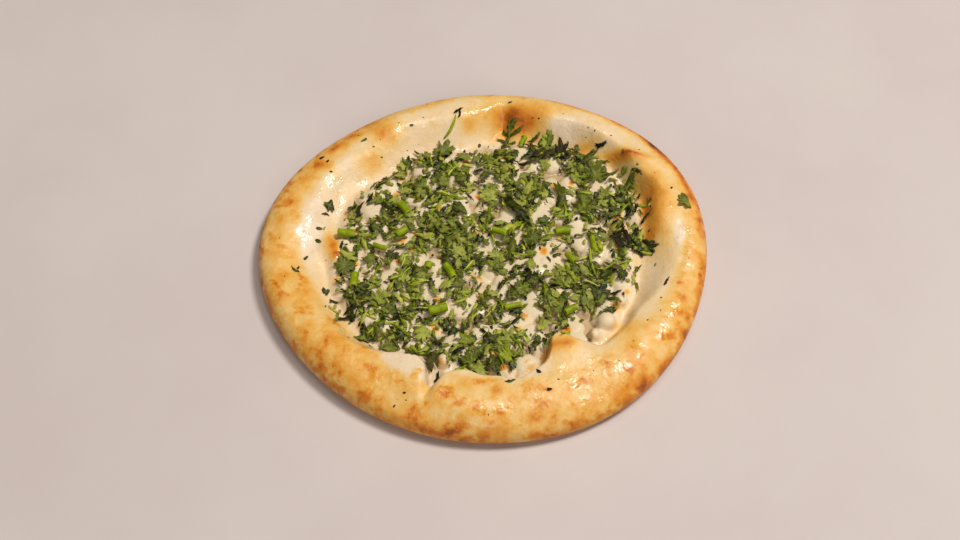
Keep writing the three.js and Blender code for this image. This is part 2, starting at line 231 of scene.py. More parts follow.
@dataclass(frozen=True)
class DoughForm:
    """The bread's form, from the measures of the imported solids, with the pleat 0.4 mm lower."""

    mean_radius: float = 100.2
    bulges: tuple[Bulge, ...] = (Bulge(2, 4.7, 3), Bulge(3, 2.0, 45), Bulge(4, 0.4, 9), Bulge(5, 0.7, 24))
    crest_in: tuple[float, ...] = (10, 12, 11, 11, 13, 14, 11, 14, 18, 20, 22, 17)
    crest_high: tuple[float, ...] = (14.5, 16.5, 15.2, 15, 15, 13.5, 14, 15, 16, 16.5, 16.5, 14.5)
    floor_in: tuple[float, ...] = (33, 25, 27, 30, 33, 36, 33, 28, 31, 31, 33, 28)
    slope: tuple[float, ...] = (20, 9, 14, 18, 17, 18, 13, 13, 5.5, 4.2, 4.6, 6)
    herbs_to: tuple[float, ...] = (74, 80, 74, 61, 66, 68, 70, 74, 66, 65, 58, 67)
    edge_high: float = 5.0
    edge_round: float = 2.3
    under_curl: float = 12.0
    plateau_fall: float = 1.2
    floor_high: float = 5.6
    least_high: float = 4.0
    swell: float = 0.5
    swells_apart: tuple[float, float] = (13.0, 17.0)
    ripples: float = 0.8
    ripples_apart: tuple[float, float] = (7.1, 9.3)
    lips: tuple[Lip, ...] = (
        Lip(302.5, 7, 14), Lip(314, 4, -2), Lip(334, 6, 2), Lip(251, 3.2, -9), Lip(240, 7, 4),
        Lip(262, 5, 2.5), Lip(281, 5, -3), Lip(178, 7, 3), Lip(150, 9, -3), Lip(208, 8, 2),
        Lip(32, 6, 3), Lip(66, 6, 3), Lip(84, 4, -4), Lip(100, 8, 3), Lip(120, 6, -2),
    )
    folds: tuple[Fold, ...] = (
        Fold(7, 71, 13, 4.5, 82, -4), Fold(30, 78, 15, 8, -22, 1.8), Fold(66, 51.5, 14, 3.6, -17, 3.6),
        Fold(67, 36, 10, 6.5, 75, -2.5), Fold(80, 18, 16, 6.8, 97, 5.5), Fold(-84, -1, 12, 6, 85, -5),
        Fold(-72.5, 2, 10, 4, 105, 4), Fold(34, -56, 9, 10, 95, 2.2), Fold(-33, -70, 15, 7, -25, 1.4),
        Fold(71, -50, 22, 9, 50, 1.4), Fold(-5, -84, 14, 8, 0, 1), Fold(-65, -58, 14, 8, -45, 1),
        Fold(-51, 69, 16, 7, 35, 1), Fold(89, -20, 16, 5, 75, 0.8), Fold(-17, 79, 12, 6, 10, 1),
        Fold(53, 67, 10, 6, -50, 1), Fold(-24, -70, 8, 2.4, 72, -5),
    )
    beads: tuple[tuple[float, float, float], ...] = (
        (54, -38, 4.5), (48.5, -45, 3.0), (61, -27, 3.6), (60, -13, 3.2), (44, -33, 2.8), (-19, -58, 3.2),
    )
    bead_lift: float = 2.8
    lumps: Lumps = Lumps()
    wrinkle: float = 0.16
    wrinkles_apart: tuple[float, float] = (4.2, 1.9)
    pressed_between: tuple[float, float] = (-3.0, 4.0)
    folds_full_in: float = 8.0
    wrinkles_full_in: float = 6.0

    def edge(self, angle: Array) -> Array:
        """Radius of the outline at each angle."""
        bulges = (b.by * np.cos(b.count * (angle - math.radians(b.toward))) for b in self.bulges)
        return self.mean_radius + sum(bulges)

    def around(self, measures: tuple[float, ...], angle: Array) -> Array:
        """One of the rim's measures, on a smooth closed curve through its places.

        Args:
            measures: The measure at evenly spaced places round the rim.
            angle: The angles.

        Returns:
            The measure at each angle.
        """
        values = np.array(measures, float)
        along = (angle / (2 * np.pi)) % 1 * len(values)
        first = np.floor(along).astype(int)
        t = along - first
        a, b, c, d = (values[(first + k) % len(values)] for k in (-1, 0, 1, 2))
        return b + 0.5 * t * (c - a + t * (2 * a - 5 * b + 4 * c - d + t * (3 * (b - c) + d - a)))

    def rounded(self, share: Array) -> Array:
        """The rise of a rounded edge, from 0 at its foot to 1 at its crest."""
        return (1 - (1 - np.clip(share, 0, 1)) ** self.edge_round) ** (1 / self.edge_round)

    def inward(self, x: Array, y: Array) -> Array:
        """Distance of each place from the outline, counted inward."""
        return np.maximum(0, self.edge(np.arctan2(y, x)) - np.hypot(x, y))

    def floor_start(self, angle: Array) -> Array:
        """Where the floor begins, with the lobes and notches of the inner lip.

        Args:
            angle: The angles.

        Returns:
            The distance in from the edge at each angle.
        """
        start = self.around(self.floor_in, angle)
        for lip in self.lips:
            off = (np.degrees(angle) - lip.toward + 540) % 360 - 180
            start = start + lip.inward * np.exp(-((off / lip.across) ** 2))
        return start

    def pressed(self, x: Array, y: Array) -> Array:
        """1 on the pressed floor and 0 on the rim."""
        start = self.floor_start(np.arctan2(y, x))
        return step(start + self.pressed_between[0], start + self.pressed_between[1], self.inward(x, y))

    def face(self, x: Array, y: Array, lump: float | Array) -> Array:
        """The upper face, without the small wrinkles of its skin.

        Args:
            x: Places along X.
            y: Places along Y.
            lump: The rise of the pressed floor's lumps.

        Returns:
            The height at each place.
        """
        angle = np.arctan2(y, x)
        inward = self.inward(x, y)
        crest_in, start = self.around(self.crest_in, angle), self.floor_start(angle)
        lip = self.around(self.crest_high, angle) - self.plateau_fall * step(crest_in, start, inward)
        down = step(start - self.around(self.slope, angle), start, inward)
        height = self.edge_high + (lip - self.edge_high) * self.rounded(inward / crest_in)
        height = height + (self.floor_high + lump * self.pressed(x, y) - height) * down
        broad, fine = self.swells_apart, self.ripples_apart
        swell = np.sin(x / broad[0] + 1.3) * np.sin(y / broad[1] + 0.4)
        swell = swell + self.ripples * np.sin(x / fine[0] + y / fine[1])
        rise = self.swell * swell + sum(f.high * f.share(x, y) for f in self.folds)
        height = height + step(0.0, self.folds_full_in, inward) * rise
        for bx, by, radius in self.beads:
            away = np.hypot(x - bx, y - by)
            ball = self.floor_high + self.bead_lift + np.sqrt(np.maximum(radius**2 - away**2, 0))
            height = np.where(away < radius, np.maximum(height, ball), height)
        return np.maximum(height, np.where(inward > self.under_curl, self.least_high, 0.0))

    def top(self, x: Array, y: Array) -> Array:
        """The finished upper face, with its lumps and the small wrinkles of its skin.

        Args:
            x: Places along X.
            y: Places along Y.

        Returns:
            The height at each place.
        """
        broad, fine = self.wrinkles_apart
        skin = rough_patches(x, y, broad, 5) - 0.5 + 0.5 * (rough_patches(x, y, fine, 9) - 0.5)
        skin = skin * step(0.0, self.wrinkles_full_in, self.inward(x, y)) * (1 - 0.4 * self.pressed(x, y))
        return self.face(x, y, self.lumps.rise(x, y)[0]) + 2 * self.wrinkle * skin

    def under(self, inward: Array) -> Array:
        """Height of the underside, which turns up to meet the upper face at the edge."""
        return self.edge_high * (1 - self.rounded(inward / self.under_curl))

    def home(self) -> Vector:
        """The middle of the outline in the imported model's frame.

        Returns:
            The place, in metres.
        """
        angle = np.linspace(-np.pi, np.pi, 4000)
        x, y = self.edge(angle) * np.cos(angle), self.edge(angle) * np.sin(angle)
        low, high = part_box("naan_bread")
        return Vector((
            (low[0] + high[0]) / 2 - (x.min() + x.max()) / 2 * MM,
            (low[1] + high[1]) / 2 - (y.min() + y.max()) / 2 * MM,
            low[2],
        ))


@dataclass
class Net:
    """A node tree, with short ways to add to it."""

    tree: bpy.types.NodeTree

    def add(
        self, kind: str, inputs: dict[str | int, object] | None = None, **settings: object
    ) -> bpy.types.Node:
        """Adds a node.

        Args:
            kind: Blender's name of the node's type.
            inputs: A value or another node's socket for each input that is set.
            **settings: The node's own settings.

        Returns:
            The node.
        """
        made = self.tree.nodes.new(kind)
        for key, value in settings.items():
            setattr(made, key, value)
        self.feed(made, inputs or {})
        return made

    def feed(self, node: bpy.types.Node, inputs: dict[str | int, object]) -> None:
        """Sets inputs of a node.

        Args:
            node: The node.
            inputs: A value or another node's socket for each input.
        """
        for key, value in inputs.items():
            if isinstance(value, bpy.types.NodeSocket):
                self.tree.links.new(value, node.inputs[key])
            else:
                node.inputs[key].default_value = value

    def math(self, operation: str, first: object, second: object) -> Socket:
        """One operation on two sockets or numbers."""
        return self.add("ShaderNodeMath", {0: first, 1: second}, operation=operation).outputs[0]

    def total(self, first: object, *others: object) -> Socket:
        """Works out the sum of several sockets or numbers.

        Args:
            first: The first of them.
            *others: The rest.

        Returns:
            The sum's socket.
        """
        for other in others:
            first = self.math("ADD", first, other)
        return first

    def product(self, first: object, *others: object) -> Socket:
        """Works out the product of several sockets or numbers.

        Args:
            first: The first of them.
            *others: The rest.

        Returns:
            The product's socket.
        """
        for other in others:
            first = self.math("MULTIPLY", first, other)
        return first

    def uneven(self, share: Socket, even: float, *patches: tuple[Socket, float]) -> Socket:
        """A share of which one part is even and the rest comes in patches, each with its strength."""
        return self.product(share, self.total(*(self.product(*patch) for patch in patches), even))

    def screen(self, *shares: Socket) -> Socket:
        """Lays several shares over each other, so that together they never pass 1.

        Args:
            *shares: The shares.

        Returns:
            The socket of the whole.
        """
        left = 1.0
        for share in shares:
            left = self.product(left, self.math("SUBTRACT", 1.0, share))
        return self.math("SUBTRACT", 1.0, left)

    def spread(
        self, value: Socket, start: float | Socket, end: float | Socket,
        low: float = 0.0, high: float = 1.0, kind: str = "LINEAR",
    ) -> Socket:
        """A value mapped to a range.

        Args:
            value: The value.
            start: Where it gives low.
            end: Where it gives high.
            low: The result at start.
            high: The result at end.
            kind: Blender's name of the way between them.

        Returns:
            The result's socket.
        """
        return self.add("ShaderNodeMapRange", {
            "Value": value, "From Min": start, "From Max": end, "To Min": low, "To Max": high,
        }, interpolation_type=kind).outputs["Result"]

    def blend(self, share: Socket, below: object, above: object) -> Socket:
        """Two colours mixed by a share."""
        return self.add("ShaderNodeMix", {0: share, 6: below, 7: above}, data_type="RGBA").outputs[2]

    def ramp(self, share: Socket, stops: tuple[tuple[float, Colour], ...]) -> Socket:
        """A colour that runs through several stops as a share goes from 0 to 1.

        Args:
            share: The share.
            stops: The place and the colour of each stop.

        Returns:
            The colour's socket.
        """
        made = self.add("ShaderNodeValToRGB", {"Fac": share})
        while len(made.color_ramp.elements) < len(stops):
            made.color_ramp.elements.new(0.5)
        for element, (place, colour) in zip(made.color_ramp.elements, stops):
            element.position = place
            element.color = colour
        return made.outputs["Color"]


@dataclass(frozen=True)
class Patch:
    """Soft random patches: their width in millimetres, and the noise at which they begin and are full."""

    size: float
    start: float
    full: float


def patch_group() -> bpy.types.NodeTree:
    """The node group that gives soft-edged patches of a size in millimetres, built once.

    Returns:
        The group, with the inputs Vector, Size, From and To and the output Patches.
    """
    name = "Soft patches"
    if name in bpy.data.node_groups:
        return bpy.data.node_groups[name]
    tree = bpy.data.node_groups.new(name, "ShaderNodeTree")
    tree.interface.new_socket("Vector", in_out="INPUT", socket_type="NodeSocketVector")
    for label, value in (("Size", 5.0), ("From", 0.4), ("To", 0.6)):
        tree.interface.new_socket(label, in_out="INPUT", socket_type="NodeSocketFloat").default_value = value
    tree.interface.new_socket("Patches", in_out="OUTPUT", socket_type="NodeSocketFloat")
    net = Net(tree)
    given = net.add("NodeGroupInput").outputs
    noise = net.add("ShaderNodeTexNoise", {
        "Vector": given["Vector"], "Scale": net.math("DIVIDE", 1 / MM, given["Size"]),
        "Detail": 4.0, "Roughness": 0.6,
    })
    spread = net.spread(noise.outputs["Fac"], given["From"], given["To"], kind="SMOOTHSTEP")
    net.add("NodeGroupOutput", {"Patches": spread})
    return tree


class Look(Net):
    """A material in the making, with its Principled BSDF and its Object coordinates."""

    def __init__(self, name: str) -> None:
        """Starts the material.

        Args:
            name: The material's name.
        """
        self.material = bpy.data.materials.new(name)
        self.material.use_nodes = True
        super().__init__(self.material.node_tree)
        self.shader = self.tree.nodes["Principled BSDF"]
        self.where = self.add("ShaderNodeTexCoord").outputs["Object"]

    def patches(self, patch: Patch) -> Socket:
        """The strength of soft random patches."""
        inputs = {"Vector": self.where, "Size": patch.size, "From": patch.start, "To": patch.full}
        return self.add("ShaderNodeGroup", inputs, node_tree=patch_group()).outputs["Patches"]

    def attribute(self, name: str) -> Socket:
        """A piece's own attribute, as a number."""
        return self.add("ShaderNodeAttribute", attribute_name=name).outputs["Fac"]

    def bump(self, relief: Socket, strength: float, high: float) -> Socket:
        """The normal of a relief whose height is in millimetres."""
        inputs = {"Height": relief, "Strength": strength, "Distance": high * MM}
        return self.add("ShaderNodeBump", inputs).outputs["Normal"]

    def done(self, inputs: dict[str, object]) -> bpy.types.Material:
        """Sets the Principled BSDF's inputs and gives the material."""
        self.feed(self.shader, inputs)
        return self.material


@dataclass(frozen=True)
class BakedDough:
    """The crust: pale cream to toasted brown, brushed with butter, with a pinkish pressed middle whose
    creases carry painted shade.
    """

    stops: tuple[tuple[float, Colour], ...] = (
        (0.0, srgb(0.910, 0.800, 0.655)),
        (0.18, srgb(0.910, 0.750, 0.475)),
        (0.36, srgb(0.900, 0.680, 0.325)),
        (0.54, srgb(0.870, 0.585, 0.195)),
        (0.72, srgb(0.815, 0.460, 0.085)),
        (0.88, srgb(0.640, 0.330, 0.075)),
        (1.0, srgb(0.330, 0.165, 0.055)),
    )
    pressed_colour: Colour = srgb(0.885, 0.795, 0.640)
    # Painted shade: the greyer, darker beige that the pressed middle takes in the creases between its lumps
    crease_shade_colour: Colour = srgb(0.700, 0.570, 0.380)
    blotch: Patch = Patch(15.0, 0.42, 0.66)
    mottle: Patch = Patch(6.5, 0.38, 0.66)
    speckle: Patch = Patch(2.4, 0.44, 0.66)
    dabs: Patch = Patch(7.5, 0.54, 0.66)
    wet: Patch = Patch(9.0, 0.47, 0.60)
    ripple: Patch = Patch(5.0, 0.3, 0.7)
    pits: Patch = Patch(1.3, 0.35, 0.65)
    even_marks: float = 0.78
    mottled_marks: float = 0.24
    mottled_rim: float = 0.16
    even_skin: float = 0.20
    patchy_skin: tuple[float, float, float, float] = (0.18, 0.26, 0.12, 0.04)
    even_scorch: float = 0.5
    speckled_scorch: float = 0.5
    even_foot: float = 0.05
    mottled_foot: float = 0.40
    # How much of the painted crease shade the bottom of a crease gets
    crease_shade_share: float = 0.8
    dry: float = 0.62
    glazed: float = 0.12
    ripple_share: float = 0.90
    pits_share: float = 0.10
    relief: float = 0.55
    relief_high: float = 0.35
    specular: float = 0.45
    subsurface: float = 0.16
    subsurface_radius: tuple[float, float, float] = (1.0, 0.6, 0.3)
    subsurface_deep: float = 2.0

    def bake(self, look: Look, edge: Socket) -> Socket:
        """How dark each place is baked, from 0 to 1.

        Args:
            look: The material in the making.
            edge: How near each place is to the bread's edge.

        Returns:
            The bake's socket.
        """
        patches = [look.patches(patch) for patch in (self.mottle, self.dabs, self.blotch, self.speckle)]
        mottle, speckle = patches[0], patches[-1]
        return look.screen(
            look.uneven(look.attribute("toasted"), self.even_marks, (mottle, self.mottled_marks)),
            look.product(edge, look.product(mottle, self.mottled_rim)),
            look.uneven(look.attribute("crown"), self.even_skin, *zip(patches, self.patchy_skin)),
            look.uneven(look.attribute("charred"), self.even_scorch, (speckle, self.speckled_scorch)),
            look.uneven(look.attribute("foot"), self.even_foot, (mottle, self.mottled_foot)),
        )

    def build(self) -> bpy.types.Material:
        """Builds the crust's look, which reads the bread's baking attributes.

        Returns:
            The material.
        """
        look = Look("baked dough")
        edge, pressed = look.attribute("rim_edge"), look.attribute("pressed")
        bake = self.bake(look, edge)
        # Painted shade: the pressed middle darkens toward the crease shade colour where its lumps are low
        hollow = look.spread(look.attribute("lump"), 0.75, 0.1, kind="SMOOTHSTEP")
        middle = look.blend(look.product(hollow, self.crease_shade_share), self.pressed_colour, self.crease_shade_colour)
        plain = look.spread(bake, 0.45, 0.08)
        wetness = look.total(look.patches(self.wet), look.product(pressed, -0.35), look.product(edge, -0.6))
        relief = look.total(
            look.product(look.patches(self.pits), self.pits_share),
            look.product(look.patches(self.ripple), self.ripple_share),
        )
        return look.done({
            "Base Color": look.blend(look.product(pressed, plain), look.ramp(bake, self.stops), middle),
            "Roughness": look.spread(wetness, -0.3, 0.9, self.dry, self.glazed),
            "Normal": look.bump(relief, self.relief, self.relief_high),
            "Specular IOR Level": self.specular,
            "Subsurface Weight": self.subsurface,
            "Subsurface Radius": self.subsurface_radius,
            "Subsurface Scale": self.subsurface_deep * MM,
        })


@dataclass(frozen=True)
class HerbGreen:
    """A finish for coriander: its colours from dark to light, veins and browned edges."""

    name: str
    dark: Colour
    middle: Colour
    light: Colour
    vein: Colour
    browned: Colour
    brown_share: float = 0.3
    roughness: float = 0.42
    cloud: Patch = Patch(3.0, 0.35, 0.65)
    bruise: Patch = Patch(5.0, 0.45, 0.7)
    relief: float = 0.7
    relief_high: float = 0.25
    specular: float = 0.18
    subsurface: float = 0.08
    subsurface_radius: tuple[float, float, float] = (0.5, 1.0, 0.2)
    subsurface_deep: float = 0.8

    def build(self) -> bpy.types.Material:
        """Builds the herb's look, which reads each piece's tint, veins and nearness to its edge.

        Returns:
            The material.
        """
        look = Look(self.name)
        tint, vein, border = (look.attribute(name) for name in ("tint", "vein", "border"))
        cloud = look.patches(self.cloud)
        shade = look.total(look.product(tint, 0.85), look.product(cloud, 0.25), -0.04)
        green = look.ramp(shade, ((0.08, self.dark), (0.5, self.middle), (0.98, self.light)))
        green = look.blend(look.product(vein, 0.40), green, self.vein)
        bruised = look.total(look.product(border, 0.55), look.patches(self.bruise))
        brown = look.spread(bruised, 1.0, 1.5, 0.0, self.brown_share)
        relief = look.total(look.product(vein, -0.6), look.product(cloud, 0.4))
        return look.done({
            "Base Color": look.blend(brown, green, self.browned),
            "Roughness": look.total(look.product(cloud, 0.2), self.roughness - 0.08),
            "Normal": look.bump(relief, self.relief, self.relief_high),
            "Specular IOR Level": self.specular,
            "Subsurface Weight": self.subsurface,
            "Subsurface Radius": self.subsurface_radius,
            "Subsurface Scale": self.subsurface_deep * MM,
        })

    def material(self) -> bpy.types.Material:
        """The finish's material, built once."""
        return bpy.data.materials.get(self.name) or self.build()


LEAF_GREEN = HerbGreen(
    "leaf green", srgb(0.080, 0.085, 0.010), srgb(0.360, 0.380, 0.075), srgb(0.640, 0.640, 0.250),
    srgb(0.610, 0.640, 0.330), srgb(0.240, 0.150, 0.040), 0.7,
)
STALK_GREEN = HerbGreen(
    "stalk green", srgb(0.38, 0.44, 0.01), srgb(0.56, 0.61, 0.03), srgb(0.77, 0.79, 0.30),
    srgb(0.74, 0.78, 0.40), srgb(0.40, 0.34, 0.12), 0.25, 0.3,
)
YOUNG_GREEN = HerbGreen(
    "young green", srgb(0.35, 0.385, 0.01), srgb(0.54, 0.565, 0.06), srgb(0.74, 0.74, 0.32),
    srgb(0.72, 0.74, 0.40), srgb(0.42, 0.28, 0.08), 0.5, 0.36,
)
SCORCHED = HerbGreen(
    "scorched herb", srgb(0.105, 0.080, 0.025), srgb(0.200, 0.160, 0.050), srgb(0.330, 0.300, 0.100),
    srgb(0.220, 0.180, 0.080), srgb(0.060, 0.045, 0.030), 0.8, 0.62,
)


def grid_faces(shape: tuple[int, int]) -> tuple[Array, Array]:
    """Numbers the corners of a grid and joins them up.

    Args:
        shape: The number of corners along each side.

    Returns:
        The number of each corner, and the faces of four corners.
    """
    number = np.arange(shape[0] * shape[1]).reshape(shape)
    quads = np.stack([number[:-1, :-1], number[1:, :-1], number[1:, 1:], number[:-1, 1:]], -1)
    return number, quads.reshape(-1, 4)


def fan(middle: int, ring: Array) -> Array:
    """The faces of three corners between a middle and a closed ring of corners."""
    return np.stack([np.full_like(ring, middle), ring, np.roll(ring, -1)], 1)


def band(first: Array, second: Array) -> Array:
    """The faces of four corners between two closed rings of corners."""
    return np.stack([first, second, np.roll(second, -1), np.roll(first, -1)], 1)


def make_mesh(name: str, points: Array, faces: list[Array], values: dict[str, Array]) -> bpy.types.Mesh:
    """Makes a smooth-shaded mesh with float attributes.

    Args:
        name: The mesh's name.
        points: The corners, in metres.
        faces: Arrays of faces, each array with one number of corners a face.
        values: An attribute's value at each corner, by the attribute's name.

    Returns:
        The mesh.
    """
    mesh = bpy.data.meshes.new(name)
    corners = np.concatenate([f.ravel() for f in faces]).astype(np.int32)
    sizes = np.concatenate([np.full(len(f), f.shape[1]) for f in faces])
    mesh.vertices.add(len(points))
    mesh.vertices.foreach_set("co", np.asarray(points, np.float32).ravel())
    mesh.loops.add(len(corners))
    mesh.loops.foreach_set("vertex_index", corners)
    mesh.polygons.add(len(sizes))
    mesh.polygons.foreach_set("loop_start", np.concatenate([[0], np.cumsum(sizes)[:-1]]).astype(np.int32))
    mesh.update(calc_edges=True)
    mesh.polygons.foreach_set("use_smooth", np.ones(len(sizes), bool))
    for key, value in values.items():
        mesh.attributes.new(key, "FLOAT", "POINT").data.foreach_set("value", np.asarray(value, np.float32))
    mesh.validate()
    return mesh


def finish_piece(
    name: str, mesh: bpy.types.Mesh, material: bpy.types.Material, replaced: tuple[str, ...]
) -> bpy.types.Object:
    """Puts a finished mesh in the scene as a piece of the bread.

    Args:
        name: The piece's name.
        mesh: Its mesh, in place.
        material: Its material.
        replaced: The CAD nodes that it stands for.

    Returns:
        The piece.
    """
    mesh.materials.clear()
    mesh.materials.append(material)
    piece = bpy.data.objects.new(name, mesh)
    bpy.context.scene.collection.objects.link(piece)
    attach(piece, "root")
    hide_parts(*replaced)
    mesh.calc_loop_triangles()
    LOG.info("%s: %d triangles", name, len(mesh.loop_triangles))
    return piece


@dataclass(frozen=True)
class BakeMark(Fold):
    """A toasted place: a fold's form with its brownness as the height, and how charred its middle is."""

    charred: float = 0.0


@dataclass(frozen=True)
class Bread:
    """The bread: one closed mesh of its upper face and its flat underside with a turned-up border."""

    form: DoughForm
    finish: BakedDough = BakedDough()
    inner_rings: int = 118
    edge_rings: int = 26
    edge_band: float = 12.0
    under_rings: tuple[float, ...] = (0.5, 1.6, 3.6, 7.0, 12.0)
    golden_in: float = 19.0
    golden_more: float = 11.0
    golden_most_at: float = 250.0
    golden_fade: float = 7.0
    least_golden: float = 0.2
    buttered_in: float = 13.0
    foot_in: tuple[float, float] = (0.4, 2.6)
    least_foot: float = 0.3
    lump_toasted: float = 0.75
    lump_high: float = 2.6
    marks: tuple[BakeMark, ...] = tuple(BakeMark(*row) for row in (
        # The brown patch at the back, and the pleat beside it
        (20, 77, 19, 9.5, -8, 0.72), (11, 80, 7, 4.5, -10, 0.30), (20.5, 74, 4, 3.2, 0, 0.25, 0.45),
        (46, 60, 8, 3, 15, 0.48), (66, 52, 12, 3.2, -16, 0.72, 0.2), (70, 51, 4, 1.4, -16, 0.2, 0.5),
        # The blister at the right and the lip below it
        (83, 19, 19, 10, 97, 0.38), (77.5, 17, 13, 5, 95, 0.18, 0.1), (76, 21, 5, 2.6, 90, 0.25, 0.5),
        (77, 37, 12, 6.5, 105, 0.34), (80, 30, 12, 7, 100, 0.12), (77, 8, 4, 3, 90, 0.3, 0.35),
        (63, 15, 8, 4, 120, 0.50),
        # The left fold, the rim at the back left and the lip at the back
        (-72, 3, 8, 3.4, 105, 0.72, 0.1), (-75, 57, 4, 2.6, 40, 0.6, 0.4), (-71, 60, 3, 2, 40, 0.4, 0.1),
        (-64, 65, 3.4, 2.2, 35, 0.4), (-78, 47, 5, 2.5, -40, 0.5), (-50, 66, 7, 6.5, 20, 0.68),
        (-56, 51, 6, 4.5, 30, 0.42), (-9, 73, 3.5, 3, 0, 0.42), (-4, 78, 4, 3, 0, 0.32),
        (-86, 40, 7, 4, 60, 0.28),
        # The front lobe of the inner lip
        (33, -55, 11, 7, 100, 0.30), (27.5, -55.5, 4.5, 3, 20, 0.5), (35.5, -54, 3.4, 2.6, 0, 0.45),
        # The front rim, from its middle round to the right
        (26, -77, 2.6, 1.1, -5, 0.8, 0.5), (4.3, -77.4, 3, 2.4, 60, 0.62), (19, -88.5, 3.5, 2.4, 20, 0.45),
        (24, -84, 3, 2, 0, 0.3), (70, -70, 4, 2.8, 30, 0.65, 0.1), (62, -73, 3, 2, 20, 0.35),
        (89, -45.5, 3.6, 2.6, 60, 0.6, 0.15), (89, -29, 3.2, 2.6, 70, 0.65, 0.15),
        (61.5, -45.5, 8, 4.5, 30, 0.40), (58, -66, 20, 10, 30, 0.14), (56, -79, 5, 3, 30, 0.32),
        (41, -88, 5, 3, 15, 0.30), (80, -60, 6, 3, 45, 0.28),
        # Scorched places along the outer edge
        (101, 15, 3.5, 2, 80, 0.5, 0.2), (100, -10, 4, 2, 95, 0.5, 0.1), (45, 82, 5, 2, -30, 0.5, 0.2),
        (55.5, 80.5, 5, 2.6, -35, 0.4, 0.25), (65, 73.5, 6, 2.6, -42, 0.5, 0.35),
        (85.5, 53, 8, 2.8, -57, 0.6, 0.4), (97.5, 27, 5, 2.6, -75, 0.5, 0.35),
        (81, 59, 5, 2.4, -50, 0.5, 0.3), (36, 86.5, 9, 2, -21, 0.35, 0.25),
        (77, 64, 16, 2.2, -46, 0.5, 0.5), (94.5, 37.5, 13, 2.2, -68, 0.5, 0.5),
        (100.5, 9, 8, 2.4, -87, 0.4, 0.3), (41, -91.5, 13, 1.5, 20, 0.35, 0.4),
        (-16, -94.5, 3.5, 1.6, 0, 0.3, 0.25), (6, -95.5, 4, 1.6, 0, 0.3, 0.15),
        # Soft golden places of the rim's left half and front
        (-64, -60, 7, 5, -40, 0.30), (-48, -67, 9, 5, -30, 0.28), (-68, -51, 5, 4, 0, 0.28),
        (-60, 72.5, 20, 3, 31, 0.24), (-77, -54, 9, 4, -50, 0.28), (-56, -73, 6, 4, -35, 0.28),
        (-40, -86, 8, 3.4, -25, 0.28), (-12, -93, 4, 2.4, 0, 0.35), (2, -94, 4, 2.2, 0, 0.30),
        (-24, -91, 4, 2.4, -8, 0.32), (-93, -17, 5, 3, 80, 0.34), (-84, -25, 6, 4, 80, 0.30),
        (-97, 10, 14, 3, 84, 0.26), (-92, 26, 5, 4, 70, 0.28),
        # Places paler than the rest
        (-33, -62, 14, 7, -25, -1.1), (-82, 14, 10, 5, 80, -0.5), (36, 72, 10, 5, -10, -0.5),
        (90, 6, 10, 3, 95, -0.35), (50, -66, 9, 4, 20, -0.2), (10, -70, 9, 4, 10, -0.3),
    ))

    def grid(self) -> tuple[Array, Array]:
        """Wraps a square grid into the outline.

        Returns:
            The places along X and Y, as square arrays.
        """
        rings = self.inner_rings + self.edge_rings
        i, j = np.meshgrid(np.arange(-rings, rings + 1), np.arange(-rings, rings + 1), indexing="ij")
        ring = np.maximum(abs(i), abs(j))
        flat = abs(i) >= abs(j)
        with np.errstate(divide="ignore", invalid="ignore"):
            sideways = np.pi / 4 * j / i + np.where(i < 0, np.pi, 0)
            upright = np.pi / 2 - np.pi / 4 * i / j + np.where(j < 0, np.pi, 0)
        angle = np.where(ring == 0, 0.0, np.where(flat, sideways, upright))
        edge = self.form.edge(angle)
        outer = edge - self.edge_band * np.clip((rings - ring) / self.edge_rings, 0, 1) ** 1.4
        inner = (edge - self.edge_band) * ring / self.inner_rings
        radius = np.where(ring >= self.inner_rings, outer, inner)
        return radius * np.cos(angle), radius * np.sin(angle)

    def golden_to(self, x: Array, y: Array) -> Array:
        """How far in from the edge the crust is golden: furthest at the front."""
        off = np.arctan2(y, x) - math.radians(self.golden_most_at)
        return self.golden_in + self.golden_more * np.cos(off)

    def baking(self, x: Array, y: Array) -> dict[str, Array]:
        """Works out the attributes that the crust's material reads.

        Args:
            x: Places along X.
            y: Places along Y.

        Returns:
            Each attribute's values, by its name.
        """
        inward = self.form.inward(x, y)
        pressed = self.form.pressed(x, y)
        rise, colour = self.form.lumps.rise(x, y)
        toasted = sum(m.high * m.share(x, y) for m in self.marks)
        charred = sum(m.charred * m.share(x, y) ** 2 for m in self.marks)
        golden_to = self.golden_to(x, y)
        golden = 1 - step(golden_to - self.golden_fade, golden_to, inward)
        return {
            "toasted": toasted + self.lump_toasted * colour * pressed,
            "charred": charred,
            "rim_edge": (1 - step(0.0, self.buttered_in, inward)) ** 1.5,
            "foot": 1 - step(*self.foot_in, inward),
            "crown": (1 - pressed) * (self.least_golden + (1 - self.least_golden) * golden),
            "pressed": pressed,
            # The lumps' height, which the material turns into painted shade in the creases between them
            "lump": np.clip(rise / self.lump_high, 0, 1),
        }

